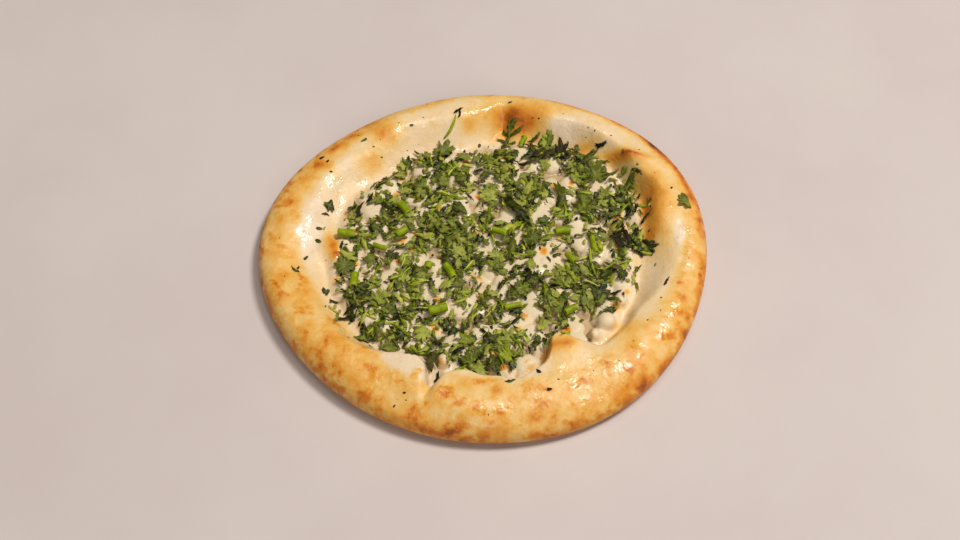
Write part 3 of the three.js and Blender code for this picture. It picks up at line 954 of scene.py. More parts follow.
    def build(self) -> bpy.types.Object:
        """Builds and dresses the bread.

        Returns:
            The bread's piece.
        """
        form, home = self.form, self.form.home()
        gx, gy = self.grid()
        x, y = gx.ravel(), gy.ravel()
        number, quads = grid_faces(gx.shape)
        upper = len(x)
        border = np.concatenate([
            number[-1, :-1], number[::-1, -1][:-1], number[0, ::-1][:-1], number[:-1, 0],
        ])
        points = [np.stack([x, y, form.top(x, y)], 1)]
        faces = [quads]
        outer, count = border, upper
        for inward in self.under_rings:
            share = 1 - inward / np.hypot(x[border], y[border])
            high = np.full(len(border), form.under(np.array(inward)))
            points.append(np.stack([x[border] * share, y[border] * share, high], 1))
            inner = count + np.arange(len(border))
            faces.append(band(outer, inner))
            outer, count = inner, count + len(border)
        points.append(np.zeros((1, 3)))
        faces.append(fan(count, outer)[:, ::-1])
        place = np.concatenate(points)
        values = self.baking(place[:, 0], place[:, 1])
        values["rim_edge"][upper:] = 1.0
        values["pressed"][upper:] = 0.0
        values["crown"][upper:] = 1.0
        values["foot"][upper:] = np.clip(place[upper:, 2] / form.edge_high, self.least_foot, 1.0)
        mesh = make_mesh("naan_bread_crust", place * MM + np.array(home), faces, values)
        return finish_piece("naan_crust", mesh, self.finish.build(), ("naan_bread",))


class Cut(Enum):
    """How a piece of coriander was cut."""

    LEAFLET = "leaflet"
    TORN = "torn leaf"
    SHRED = "shred"
    CRUMB = "crumb"
    STALK = "stalk"


@dataclass(frozen=True)
class CutShape:
    """How the pieces of one cut look: corners round the edge, rings of faces, width, nicks and curl."""

    corners: int
    rings: int
    wide: float
    lobes: float
    teeth: float
    curl: float
    thick: float
    nick_stray: float = 0.2
    nick_wide: float = 0.17
    heart_deep: float = 0.45
    heart_wide: float = 0.45
    ripple: float = 0.12
    lobe_bend: float = 1.6
    lobe_count: int = 7


SHAPES = {
    Cut.LEAFLET: CutShape(44, 3, 0.86, 0.62, 0.10, 0.30, 0.22),
    Cut.TORN: CutShape(28, 2, 0.66, 0.55, 0.12, 0.36, 0.22),
    Cut.SHRED: CutShape(22, 1, 0.27, 0.32, 0.20, 0.24, 0.26),
    Cut.CRUMB: CutShape(9, 1, 0.55, 0.0, 0.12, 0.20, 0.30),
    Cut.STALK: CutShape(14, 1, 0.10, 0.0, 0.0, 0.12, 0.80),
}


# Where a leaf is nicked between its lobes: direction in radians and share of the full depth
NICKS = ((0.5, 0.9), (-0.55, 0.9), (1.5, 1.0), (-1.45, 1.0), (2.4, 0.8), (-2.4, 0.8))


@dataclass(frozen=True)
class HerbPiece:
    """One variant of a cut piece, about the origin, with its length as the unit."""

    cut: Cut
    variant: int

    def draw(self, salt: int, low: float = -1.0, high: float = 1.0) -> float:
        """Draws a number that is always the same for this variant.

        Args:
            salt: Picks one of many numbers.
            low: The least that it can be.
            high: The most that it can be.

        Returns:
            The number.
        """
        turn = self.variant * 12.9898 + salt * 78.233 + list(Cut).index(self.cut) * 37.719
        wave = math.sin(turn) * 43758.5453
        return low + (high - low) * (wave - math.floor(wave))

    def outline(self) -> Array:
        """Draws the edge, nicked between its lobes and cut across where a knife fell.

        Returns:
            The places round the edge, anticlockwise.
        """
        shape = SHAPES[self.cut]
        number = np.arange(shape.corners)
        turn = np.linspace(0, 2 * np.pi, shape.corners, endpoint=False)
        oval = 0.1 * self.draw(2) * np.cos(2 * turn + self.draw(1, 0, 3))
        radius = 0.5 * (1 + oval)
        for k, (toward, share) in enumerate(NICKS):
            off = (turn - toward - shape.nick_stray * self.draw(10 + k) + np.pi) % (2 * np.pi) - np.pi
            deep = shape.lobes * share * self.draw(20 + k, 0.5, 1.15)
            radius *= 1 - deep * np.exp(-((off / shape.nick_wide) ** 2))
        teeth = scatter(number // 2, self.variant, 7) - 0.5 + np.where(number % 3 == 0, 0.35, -0.2)
        radius += shape.teeth * teeth
        if self.cut is Cut.LEAFLET:
            radius *= 1 - shape.heart_deep * np.exp(-((abs(turn - np.pi) / shape.heart_wide) ** 2))
        x, y = radius * np.cos(turn), radius * np.sin(turn) * shape.wide
        cuts = 2 if self.cut is Cut.TORN else 1 if self.cut is Cut.CRUMB or self.draw(3, 0, 1) > 0.35 else 0
        for cut in range(cuts):
            toward, far = self.draw(4 + 20 * cut, 0, 2 * np.pi), self.draw(5 + 20 * cut, 0.12, 0.34)
            beyond = x * math.cos(toward) + y * math.sin(toward)
            back = np.where(beyond > far, far / np.maximum(beyond, 1e-6), 1.0)
            x, y = x * back, y * back
        return np.stack([x, y], 1)

    def solid(self) -> Solid:
        """The piece as a thin closed form.

        Returns:
            Its corners, its faces and its attributes.
        """
        shape, edge = SHAPES[self.cut], self.outline()
        shares = np.linspace(0, 1, shape.rings + 1)[1:]
        flat = np.concatenate([np.zeros((1, 2))] + [edge * share for share in shares])
        x, y = flat[:, 0], flat[:, 1] + (0.0 if shape.wide > 0.5 else 0.5 * self.draw(9)) * (flat[:, 0] ** 2)
        border = np.concatenate([[0.0]] + [np.full(shape.corners, share) for share in shares])
        turn = np.arctan2(y, x)
        high = shape.curl * (self.draw(6, -0.6, 1.2) * abs(y) + self.draw(7, -0.9, 0.9) * (x**2 + 0.4 * x))
        lobe = np.floor((turn + np.pi) / (2 * np.pi) * shape.lobe_count + self.draw(12, 0, 1))
        bend = np.sin(self.draw(8, 2.4, 4.6) * turn + self.draw(11, 0, 6))
        bend = bend + shape.lobe_bend * (scatter(lobe, self.variant, 3) - 0.5)
        high = high + shape.ripple * border**2 * bend * shape.wide
        spoke = np.tile(np.arange(shape.corners) % 4 == 0, shape.rings).astype(float)
        vein = np.concatenate([[1.0], spoke * (1 - 0.5 * border[1:])])
        if shape.rings == 1:
            vein *= 0.0
        count = len(flat)
        thick = shape.thick * 0.1
        top = np.stack([x, y, high + thick * np.sqrt(np.maximum(1 - border**2, 0.12))], 1)
        under = np.stack([x, y, high], 1)
        rings = [1 + row * shape.corners + np.arange(shape.corners) for row in range(shape.rings)]
        upper = [fan(0, rings[0])] + [band(a, b) for a, b in zip(rings, rings[1:])]
        faces = [face for part in upper for face in (part, part[:, ::-1] + count)]
        faces.append(np.roll(band(rings[-1], rings[-1] + count), -1, axis=1))
        values = {
            "vein": np.concatenate([vein, vein]),
            "border": np.concatenate([border, border]),
            "over": np.concatenate([top[:, 2] - high, np.zeros(count)]),
        }
        return np.concatenate([top, under]), faces, values


# The ray that lays a piece down: its start above the piece, its length and the gap that it leaves
RAY_FROM = 50 * MM
RAY_LONG = 200 * MM
CLEAR = 0.1 * MM


def scatter_tree() -> bpy.types.NodeTree:
    """The geometry nodes that strew cut pieces over a surface and lay them down on the bread.

    Returns:
        The tree. Its inputs are the surface, the bread, the collection of cut pieces, the number a
        square metre, a seed, the pieces' lengths, tilt, lift and stiffness, and the material.
    """
    tree = bpy.data.node_groups.new("Strewn herbs", "GeometryNodeTree")
    sockets = (
        ("Surface", "NodeSocketGeometry"), ("Bread", "NodeSocketObject"), ("Pieces", "NodeSocketCollection"),
        ("Density", "NodeSocketFloat"), ("Seed", "NodeSocketInt"), ("Shortest", "NodeSocketFloat"),
        ("Longest", "NodeSocketFloat"), ("Tilt", "NodeSocketFloat"), ("Lift", "NodeSocketFloat"),
        ("Stiffness", "NodeSocketFloat"), ("Finish", "NodeSocketMaterial"), ("Where", "NodeSocketString"),
    )
    for label, kind in sockets:
        tree.interface.new_socket(label, in_out="INPUT", socket_type=kind)
    tree.interface.new_socket("Herbs", in_out="OUTPUT", socket_type="NodeSocketGeometry")
    net = Net(tree)
    given = net.add("NodeGroupInput").outputs

    def drawn(low: object, high: object, salt: int) -> Socket:
        """A number drawn for each point between two limits."""
        inputs = {2: low, 3: high, 8: net.total(given["Seed"], float(salt))}
        return net.add("FunctionNodeRandomValue", inputs, data_type="FLOAT").outputs[1]

    where = net.add("GeometryNodeInputNamedAttribute", {"Name": given["Where"]}, data_type="FLOAT")
    density = net.product(where.outputs["Attribute"], given["Density"])
    strewn = net.add("GeometryNodeDistributePointsOnFaces", {
        "Mesh": given["Surface"], "Density": density, "Seed": given["Seed"],
    })
    lift = drawn(0.0, given["Lift"], 5)
    points = strewn.outputs["Points"]
    for name, value in (("tint", drawn(0.0, 1.0, 4)), ("lift", lift)):
        points = net.add("GeometryNodeStoreNamedAttribute", {
            "Geometry": points, "Name": name, "Value": value,
        }, data_type="FLOAT", domain="POINT").outputs["Geometry"]
    least = net.product(given["Tilt"], -1.0)
    euler = net.add("ShaderNodeCombineXYZ", {
        0: drawn(least, given["Tilt"], 1), 1: drawn(least, given["Tilt"], 2), 2: drawn(0.0, 2 * math.pi, 3),
    })
    spin = net.add("FunctionNodeEulerToRotation", {0: euler.outputs[0]})
    tumbled = net.add("FunctionNodeRotateRotation", {
        0: strewn.outputs["Rotation"], 1: spin.outputs[0],
    }, rotation_space="LOCAL")
    pieces = net.add("GeometryNodeCollectionInfo", {
        "Collection": given["Pieces"], "Separate Children": True, "Reset Children": True,
    })
    placed = net.add("GeometryNodeInstanceOnPoints", {
        "Points": points, "Instance": pieces.outputs["Instances"], "Pick Instance": True,
        "Rotation": tumbled.outputs[0], "Scale": drawn(given["Shortest"], given["Longest"], 6),
    })
    loose = net.add("GeometryNodeRealizeInstances", {"Geometry": placed.outputs["Instances"]})
    bread = net.add("GeometryNodeObjectInfo", {"Object": given["Bread"]})
    spot = net.add("GeometryNodeInputPosition").outputs[0]
    above = net.add("ShaderNodeVectorMath", {0: spot, 1: (0.0, 0.0, RAY_FROM)}, operation="ADD")
    down = net.add("GeometryNodeRaycast", {
        "Target Geometry": bread.outputs["Geometry"], "Source Position": above.outputs[0],
        "Ray Direction": (0.0, 0.0, -1.0), "Ray Length": RAY_LONG,
    })
    held = net.add("GeometryNodeInputNamedAttribute", {"Name": "lift"}, data_type="FLOAT").outputs[0]
    over = net.add("GeometryNodeInputNamedAttribute", {"Name": "over"}, data_type="FLOAT").outputs[0]
    rest = net.add("ShaderNodeSeparateXYZ", {0: down.outputs["Hit Position"]}).outputs[2]
    rest = net.total(rest, held, net.product(over, given["Longest"]), CLEAR)
    now = net.add("ShaderNodeSeparateXYZ", {0: spot}).outputs
    free = net.math("MAXIMUM", net.math("SUBTRACT", now[2], rest), 0.0)
    height = net.total(rest, net.product(free, given["Stiffness"]))
    lowered = net.add("ShaderNodeCombineXYZ", {0: now[0], 1: now[1], 2: height})
    draped = net.add("GeometryNodeSetPosition", {
        "Geometry": loose.outputs["Geometry"], "Position": lowered.outputs[0],
    })
    whole = net.add("GeometryNodeRealizeInstances", {"Geometry": draped.outputs["Geometry"]})
    dressed = net.add("GeometryNodeSetMaterial", {
        "Geometry": whole.outputs["Geometry"], "Material": given["Finish"],
    })
    net.add("NodeGroupOutput", {0: dressed.outputs["Geometry"]})
    return tree


@dataclass(frozen=True)
class Strewing:
    """One kind of cut piece in the mat: how many, how long and how they lie."""

    name: str
    cut: Cut
    count: int
    shortest: float
    longest: float
    finish: HerbGreen
    where: str = "herbs"
    tilt: float = 0.25
    lift: float = 1.2
    stiffness: float = 0.8
    variants: int = 12
    seed: int = 1


@dataclass(frozen=True)
class HerbMat:
    """The chopped coriander on the middle of the bread, one piece for each kind of cut."""

    form: DoughForm
    half: float = 100.0
    spacing: float = 2.0
    rest_on: float = 2.7
    ragged: float = 7.0
    ragged_apart: float = 13.0
    fade: tuple[float, float] = (-4.0, 2.0)
    bareness: float = 0.93
    between_clumps: float = 0.36
    in_clumps: float = 1.3
    clumps_apart: float = 8.0
    clumps_between: tuple[float, float] = (0.38, 0.60)
    strays_to: float = 11.0
    least_crumbs: float = 0.35
    stray_crumbs: float = 0.12
    least_scorched: float = 0.22
    bare: tuple[tuple[float, float, float], ...] = (
        (-37, 13, 6), (-26, -5, 6), (-8, 28, 7), (9, 20, 5), (29, -2, 8), (36, 41, 7), (44, 32, 5),
        (28, 22, 5), (16, 9, 4), (-25, -60, 5), (52, -39, 7), (60, -22, 6), (-44, 37, 6), (-50, -22, 5),
        (5, -13, 5), (22, -36, 5), (-12, -37, 4), (20, 51, 5), (8, 62, 4), (-56, 24, 5), (54, 40, 5),
        (30, 57, 4), (-71, 2, 8),
    )
    scorched: tuple[tuple[float, float, float], ...] = (
        (63, 10, 7), (69, 5, 6), (33, 58, 6), (-20, 59, 5), (-55, 28, 6), (-62, -31, 5), (62, -18, 5),
    )
    kinds: tuple[Strewing, ...] = (
        Strewing("whole_leaflets", Cut.LEAFLET, 75, 6.5, 11.5, LEAF_GREEN, tilt=0.55, lift=2.4, seed=3),
        Strewing("torn_leaves", Cut.TORN, 410, 4, 9.5, LEAF_GREEN, tilt=0.65, lift=2.4, variants=18, seed=8),
        Strewing("leaf_shreds", Cut.SHRED, 640, 3.0, 8.5, LEAF_GREEN, tilt=0.5, lift=2.2, seed=12),
        Strewing("leaf_crumbs", Cut.CRUMB, 520, 1.4, 3.6, LEAF_GREEN, "crumbs", 0.4, 1.0, seed=21),
        Strewing("young_shreds", Cut.SHRED, 220, 3.0, 8.0, YOUNG_GREEN, tilt=0.4, lift=2.2, seed=52),
        Strewing("thin_stalks", Cut.STALK, 50, 7.0, 14.0, STALK_GREEN, tilt=0.2, lift=2.0, seed=31),
        Strewing("scorched_bits", Cut.SHRED, 110, 3.0, 7.5, SCORCHED, "scorched", 0.6, 2.0, seed=43),
    )

    def covers(self, x: Array, y: Array) -> dict[str, Array]:
        """Works out how thickly herbs, crumbs and scorched bits lie.

        Args:
            x: Places along X.
            y: Places along Y.

        Returns:
            The thickness of each kind, by its name.
        """
        away = np.hypot(x, y)
        reach = self.form.around(self.form.herbs_to, np.arctan2(y, x))
        reach = reach + self.ragged * (rough_patches(x, y, self.ragged_apart, 71) - 0.5)
        inside = 1 - step(reach + self.fade[0], reach + self.fade[1], away)
        clear = np.ones_like(x)
        for spot in self.bare:
            clear = clear * (1 - self.bareness * nearness(x, y, spot, 4.0))
        clumps = step(*self.clumps_between, rough_patches(x, y, self.clumps_apart, 83))
        burnt = sum(nearness(x, y, spot) for spot in self.scorched)
        wide = 1 - step(reach, reach + self.strays_to, away)
        crumbs = self.least_crumbs + (1 - self.least_crumbs) * clear
        return {
            "herbs": inside * clear * (self.between_clumps + self.in_clumps * clumps),
            "crumbs": np.maximum(inside * crumbs, self.stray_crumbs * wide),
            "scorched": inside * self.least_scorched + burnt * wide,
        }

    def carrier(self, home: Vector) -> tuple[bpy.types.Object, dict[str, float]]:
        """The surface that herbs are strewn on.

        Args:
            home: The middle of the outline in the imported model's frame.

        Returns:
            The surface's object, and the weighed area of each attribute in square metres.
        """
        line = np.arange(-self.half, self.half + 1, self.spacing)
        gx, gy = np.meshgrid(line, line, indexing="ij")
        x, y = gx.ravel(), gy.ravel()
        values = self.covers(x, y)
        place = np.stack([x, y, self.form.face(x, y, self.rest_on)], 1) * MM + np.array(home)
        mesh = make_mesh("herb surface", place, [grid_faces(gx.shape)[1]], values)
        surface = bpy.data.objects.new("herb surface", mesh)
        bpy.context.scene.collection.objects.link(surface)
        cell = (self.spacing * MM) ** 2
        return surface, {key: float(value.sum()) * cell for key, value in values.items()}

    def build(self, bread: bpy.types.Object) -> None:
        """Strews each kind over the surface and lays it on the bread.

        Args:
            bread: The bread's piece.
        """
        tree = scatter_tree()
        names = {s.name: s.identifier for s in tree.interface.items_tree if s.in_out == "INPUT"}
        surface, area = self.carrier(self.form.home())
        for kind in self.kinds:
            collection = bpy.data.collections.new(kind.name)
            for variant in range(kind.variants):
                solid = HerbPiece(kind.cut, variant + kind.seed).solid()
                mesh = make_mesh(f"{kind.name} {variant:02d}", *solid)
                collection.objects.link(bpy.data.objects.new(mesh.name, mesh))
            material = kind.finish.material()
            settings = {
                "Bread": bread, "Pieces": collection, "Density": kind.count / area[kind.where],
                "Seed": kind.seed, "Shortest": kind.shortest * MM, "Longest": kind.longest * MM,
                "Tilt": kind.tilt, "Lift": kind.lift * MM, "Stiffness": kind.stiffness,
                "Finish": material, "Where": kind.where,
            }
            modifier = surface.modifiers.new("strew", "NODES")
            modifier.node_group = tree
            for key, value in settings.items():
                modifier[names[key]] = value
            graph = bpy.context.evaluated_depsgraph_get()
            mesh = bpy.data.meshes.new_from_object(
                surface.evaluated_get(graph), preserve_all_data_layers=True, depsgraph=graph
            )
            surface.modifiers.remove(modifier)
            mesh.name = kind.name
            finish_piece(kind.name, mesh, material, ("chopped_coriander",))
            for part in list(collection.objects):
                bpy.data.meshes.remove(part.data)
            bpy.data.collections.remove(collection)
        bpy.data.meshes.remove(surface.data)
        bpy.data.node_groups.remove(tree)


@dataclass(frozen=True)
class LaidPiece:
    """A cut piece laid on the bread: its cut, place, length, direction, variant, lift and tint."""

    cut: Cut
    x: float
    y: float
    long: float
    turn: float
    variant: int = 1
    lift: float = 0.4
    tint: float = 0.5
    stiffness: float = 0.8

    def lay(self, form: DoughForm) -> Solid:
        """Lays the piece down.

        Args:
            form: The bread that it lies on.

        Returns:
            Its corners in millimetres, its faces and its attributes.
        """
        points, faces, values = HerbPiece(self.cut, self.variant).solid()
        along, across = turned(points[:, 0], points[:, 1], -math.radians(self.turn))
        x, y = self.x + self.long * along, self.y + self.long * across
        bent = np.maximum(0, self.long * (points[:, 2] - values["over"]) * self.stiffness)
        raised = bent + self.long * values["over"]
        values["tint"] = np.full(len(x), self.tint)
        return np.stack([x, y, form.top(x, y) + self.lift + raised], 1), faces, values


def laid(*rows: tuple[Cut | float, ...]) -> tuple[LaidPiece, ...]:
    """Cut pieces, each from a row of its measures."""
    return tuple(LaidPiece(*row) for row in rows)


def join_herbs(
    name: str, form: DoughForm, solids: Iterable[Solid], finish: HerbGreen, node: str = "chopped_coriander"
) -> bpy.types.Object:
    """Joins herbs that lie on the bread into one piece of the scene.

    Args:
        name: The piece's name.
        form: The bread.
        solids: The corners in millimetres, the faces and the attributes of each herb.
        finish: Their finish.
        node: The CAD node that they stand for.

    Returns:
        The piece.
    """
    points, faces, values, count = [], [], {}, 0
    for corners, sides, attributes in solids:
        points.append(corners)
        faces += [side + count for side in sides]
        for key, value in attributes.items():
            values.setdefault(key, []).append(value)
        count += len(corners)
    place = np.concatenate(points) * MM + np.array(form.home())
    mesh = make_mesh(name, place, faces, {key: np.concatenate(value) for key, value in values.items()})
    return finish_piece(name, mesh, finish.material(), (node,))


@dataclass(frozen=True)
class LooseHerb:
    """Coriander that lies apart on the dough, in the place of a CAD node."""

    node: str
    finish: HerbGreen
    pieces: tuple[LaidPiece, ...]

    def build(self, form: DoughForm) -> bpy.types.Object:
        """Lays it on the dough."""
        solids = (piece.lay(form) for piece in self.pieces)
        return join_herbs(f"{self.node}_herb", form, solids, self.finish, self.node)


LOOSE_HERBS = (
    LooseHerb("leaf_back", LEAF_GREEN, laid(
        (Cut.STALK, 11, 70, 17, 76, 5, 0.8, 0.3), (Cut.TORN, 13, 76, 7, 60, 3, 0.7, 0.25),
        (Cut.SHRED, 9, 74, 7, 130, 2, 0.6, 0.3), (Cut.SHRED, 15, 72, 7, 20, 4, 0.6, 0.35),
        (Cut.SHRED, 8, 69, 6, 150, 6, 0.7, 0.2), (Cut.SHRED, 14, 67, 6, 10, 8, 0.7, 0.5),
        (Cut.TORN, 10, 65, 7, 250, 7, 0.9, 0.6),
    )),
    LooseHerb("shred_back", STALK_GREEN, laid((Cut.STALK, -17, 71, 12, 60, 2))),
    LooseHerb("leaf_right_rim", LEAF_GREEN, laid((Cut.LEAFLET, 94, 24, 10, -20, 4, 0.4, 0.6))),
    LooseHerb("flake_left_back", LEAF_GREEN, laid((Cut.SHRED, -76, 21, 5, 15, 2, 0.4, 0.2))),
    LooseHerb("flake_left_front", LEAF_GREEN, laid((Cut.SHRED, -88, -13, 5, 150, 7, 0.4, 0.3))),
    LooseHerb("flake_right", SCORCHED, laid((Cut.SHRED, 82, -20, 5, 60, 3))),
    LooseHerb("flake_front", LEAF_GREEN, laid((Cut.SHRED, 10, -73, 5, 10, 6, 0.4, 0.2))),
    LooseHerb("flake_back_left", LEAF_GREEN, laid((Cut.SHRED, -59, 62, 5, 30, 8))),
)


@dataclass(frozen=True)
class PlacedHerbs:
    """The larger pieces that stand out in the mat, each in its own place."""

    form: DoughForm
    leaves: tuple[LaidPiece, ...] = laid(
        # On the middle and in the clump at the back
        (Cut.SHRED, 15, 22, 21, -56, 3, 3.2, 0.12), (Cut.SHRED, 36, 31, 18, 92, 9, 1.6, 0.35),
        (Cut.SHRED, 12, 2, 14, 78, 14, 3.0, 0.45), (Cut.LEAFLET, 30, 62, 12, 70, 2, 1.2, 0.55),
        (Cut.LEAFLET, 24, 57, 13, 150, 6, 1.8, 0.15), (Cut.LEAFLET, 36, 57, 12, 30, 9, 1.2, 0.12),
        # At the front, the left and the back
        (Cut.TORN, -56, -46, 10, 5, 5, 0.6, 0.5), (Cut.LEAFLET, -6, -57, 12, 200, 11, 1.5, 0.4),
        (Cut.LEAFLET, 3, -60, 11, -20, 4, 1.2, 0.2), (Cut.TORN, -74, -21, 6, 160, 8, 0.5, 0.1),
        (Cut.LEAFLET, 53, 47, 12, 60, 13, 0.8, 0.45), (Cut.TORN, 66, 36, 9, 50, 15, 0.6, 0.5),
        (Cut.LEAFLET, -66, -9, 11, 120, 7, 1.5, 0.4), (Cut.LEAFLET, -21, 60, 12, 70, 12, 1.4, 0.5),
        # On the inner lip at the back right
        (Cut.LEAFLET, 53, 45, 12, 10, 17, 0.9, 0.5), (Cut.TORN, 57, 33, 12, 70, 21, 0.9, 0.75),
        (Cut.SHRED, 49, 55, 13, 35, 15, 0.6, 0.3), (Cut.TORN, 70, 41, 7, 60, 18, 0.4, 0.35),
        (Cut.SHRED, 72.5, 43, 6, -40, 17, 0.2, 0.25), (Cut.SHRED, 60, 46, 8, 20, 19, 0.3, 0.3),
        (Cut.TORN, 63, 31, 8, 100, 23, 0.6, 0.35), (Cut.LEAFLET, 47, 33, 10, 80, 19, 0.8, 0.5),
        # Crumbs and leaves on the rim
        (Cut.CRUMB, -37, 70, 2.4, 20, 3, 0.1, 0.5), (Cut.CRUMB, -79, 12, 3.2, 0, 5, 0.1, 0.3),
        (Cut.CRUMB, -79, 5, 3.6, -10, 7, 0.1, 0.2), (Cut.CRUMB, -84, -4, 3.2, 60, 9, 0.1, 0.2),
        (Cut.TORN, -75, 26, 8, -60, 6, 0.8, 0.12), (Cut.SHRED, 73, 4, 9, -10, 21, 0.6, 0.5),
        (Cut.TORN, 66, 45, 6, 30, 26, 0.5, 0.6),
    )
    scorched: tuple[LaidPiece, ...] = laid(
        (Cut.SHRED, 63, 11, 9, 75, 3, 1.6, 0.1), (Cut.SHRED, 66, 8, 10, 110, 5, 2.2, 0.2),
        (Cut.SHRED, 70, 5, 11, 80, 8, 1.4, 0.1), (Cut.SHRED, 60, 8, 7, 30, 11, 1.8, 0.4),
        (Cut.SHRED, 72, 1, 8, 95, 12, 0.8, 0.2), (Cut.TORN, -24, -58, 11, 78, 3, 2.4, 0.9),
        (Cut.SHRED, -22, -66, 7, 72, 6, 0.6, 0.1), (Cut.SHRED, -62, -31, 8, 25, 2, 0.8, 0.3),
        (Cut.SHRED, -70, -26, 5, -20, 4, 0.5, 0.5), (Cut.SHRED, -61, 22, 9, 80, 7, 3.0, 0.3),
        (Cut.SHRED, 71, 24, 7, 70, 5, 0.4, 0.1), (Cut.SHRED, -14, 79, 5, 40, 5, 0.6, 0.0),
        (Cut.SHRED, -13, 77, 4, 80, 9, 0.8, 0.0), (Cut.SHRED, 56, 60, 6, -10, 9, 0.5, 0.1),
        (Cut.TORN, 29, 58, 13, 20, 13, 2.4, 0.7), (Cut.TORN, 37, 59, 11, 100, 17, 2.0, 0.5),
        (Cut.TORN, 23, 61, 10, 150, 19, 2.0, 0.8), (Cut.SHRED, 68, 24, 10, 75, 14, 0.8, 0.2),
        (Cut.SHRED, 70, 10, 9, 70, 16, 1.4, 0.1), (Cut.TORN, 62, 6, 9, 120, 24, 1.6, 0.1),
        (Cut.SHRED, 50, 57, 7, 20, 18, 0.5, 0.1),
    )
    young: tuple[LaidPiece, ...] = laid(
        (Cut.LEAFLET, 9, -56, 10, 40, 8, 2.6, 0.4), (Cut.TORN, 29, 65, 7, 80, 9, 1.8, 0.7),
        (Cut.SHRED, -70, -31, 6, -40, 3, 0.6, 0.9), (Cut.SHRED, 13, 13, 12, 50, 12, 3.2, 0.5),
        (Cut.SHRED, 9, 11, 10, 35, 15, 3.0, 0.8), (Cut.TORN, -30, -44, 7, 20, 12, 2.2, 0.4),
        (Cut.SHRED, 53, 2, 9, 110, 16, 2.0, 0.6), (Cut.SHRED, 50, 26, 8, 60, 18, 1.8, 0.8),
        (Cut.LEAFLET, -9, -48, 9, 100, 14, 2.4, 0.2), (Cut.SHRED, 40, -14, 9, 120, 20, 2.0, 0.5),
    )

    def build(self) -> None:
        """Lays the pieces of each finish."""
        for name, pieces, finish in (
            ("placed_leaves", self.leaves, LEAF_GREEN),
            ("placed_scorched", self.scorched, SCORCHED),
            ("placed_young_leaves", self.young, YOUNG_GREEN),
        ):
            join_herbs(name, self.form, (piece.lay(self.form) for piece in pieces), finish)


@dataclass(frozen=True)
class BurntFlecks:
    """Flecks of burnt herb stuck to the glaze: those seen, by place, length and turn, and some strewn."""

    form: DoughForm
    strewn: int = 45
    seen: tuple[tuple[float, float, float, float], ...] = (
        (-80, 52, 3.4, 20), (-77, 49, 2.6, 60), (-75, 43, 2.0, 20), (-55, 58, 1.3, 0), (-51, 54, 1.3, 0),
        (26, 75, 1.5, 0), (23, 76, 1.2, 0), (12, 86, 2.6, 10), (53, 66, 1.6, 30), (50, 68, 1.0, 30),
        (88, 31, 2.2, 60), (79, -29, 1.6, 0), (72, -41, 1.6, 20), (52, -52, 1.6, 0), (31, -72, 1.4, 0),
        (22, -68, 4.0, -20), (27, -77, 3.4, 5), (-87, -11, 2.6, 70), (-36, -78, 2.4, 15),
        (-40, -83, 1.8, 40), (-35, -81, 1.2, 0), (-31, 75, 1.2, 0), (-43, 71, 1.0, 0), (18, 70, 1.2, 0),
        (38, 76, 1.0, 0), (61, 63, 1.2, 0),
    )
    seen_scale: float = 0.85
    strewn_in: tuple[float, float] = (6.0, 32.0)
    strewn_long: tuple[float, float] = (0.4, 1.1)

    def build(self) -> bpy.types.Object:
        """Lays the flecks on the rim.

        Returns:
            The piece.
        """
        pieces = [
            LaidPiece(Cut.CRUMB, x, y, self.seen_scale * long, turn, 2 + k, 0.1, 0.3)
            for k, (x, y, long, turn) in enumerate(self.seen)
        ]
        shortest, longest = self.strewn_long
        for k in range(self.strewn):
            angle = float(scatter(k, 3, 1, (0.0, 2 * math.pi)))
            radius = float(self.form.edge(np.array(angle)) - scatter(k, 5, 2, self.strewn_in))
            long = shortest + (longest - shortest) * float(scatter(k, 7, 3)) ** 2
            place = (radius * math.cos(angle), radius * math.sin(angle))
            pieces.append(LaidPiece(Cut.CRUMB, *place, long, 90.0 * k, k, 0.06, 0.2))
        return join_herbs("burnt_flecks", self.form, (piece.lay(self.form) for piece in pieces), SCORCHED)


@dataclass(frozen=True)
class CutStem:
    """A short length of stem: place, length, direction in degrees, thickness and how far it is raised."""

    x: float
    y: float
    long: float
    turn: float
    thick: float
    raised: float = 0.0


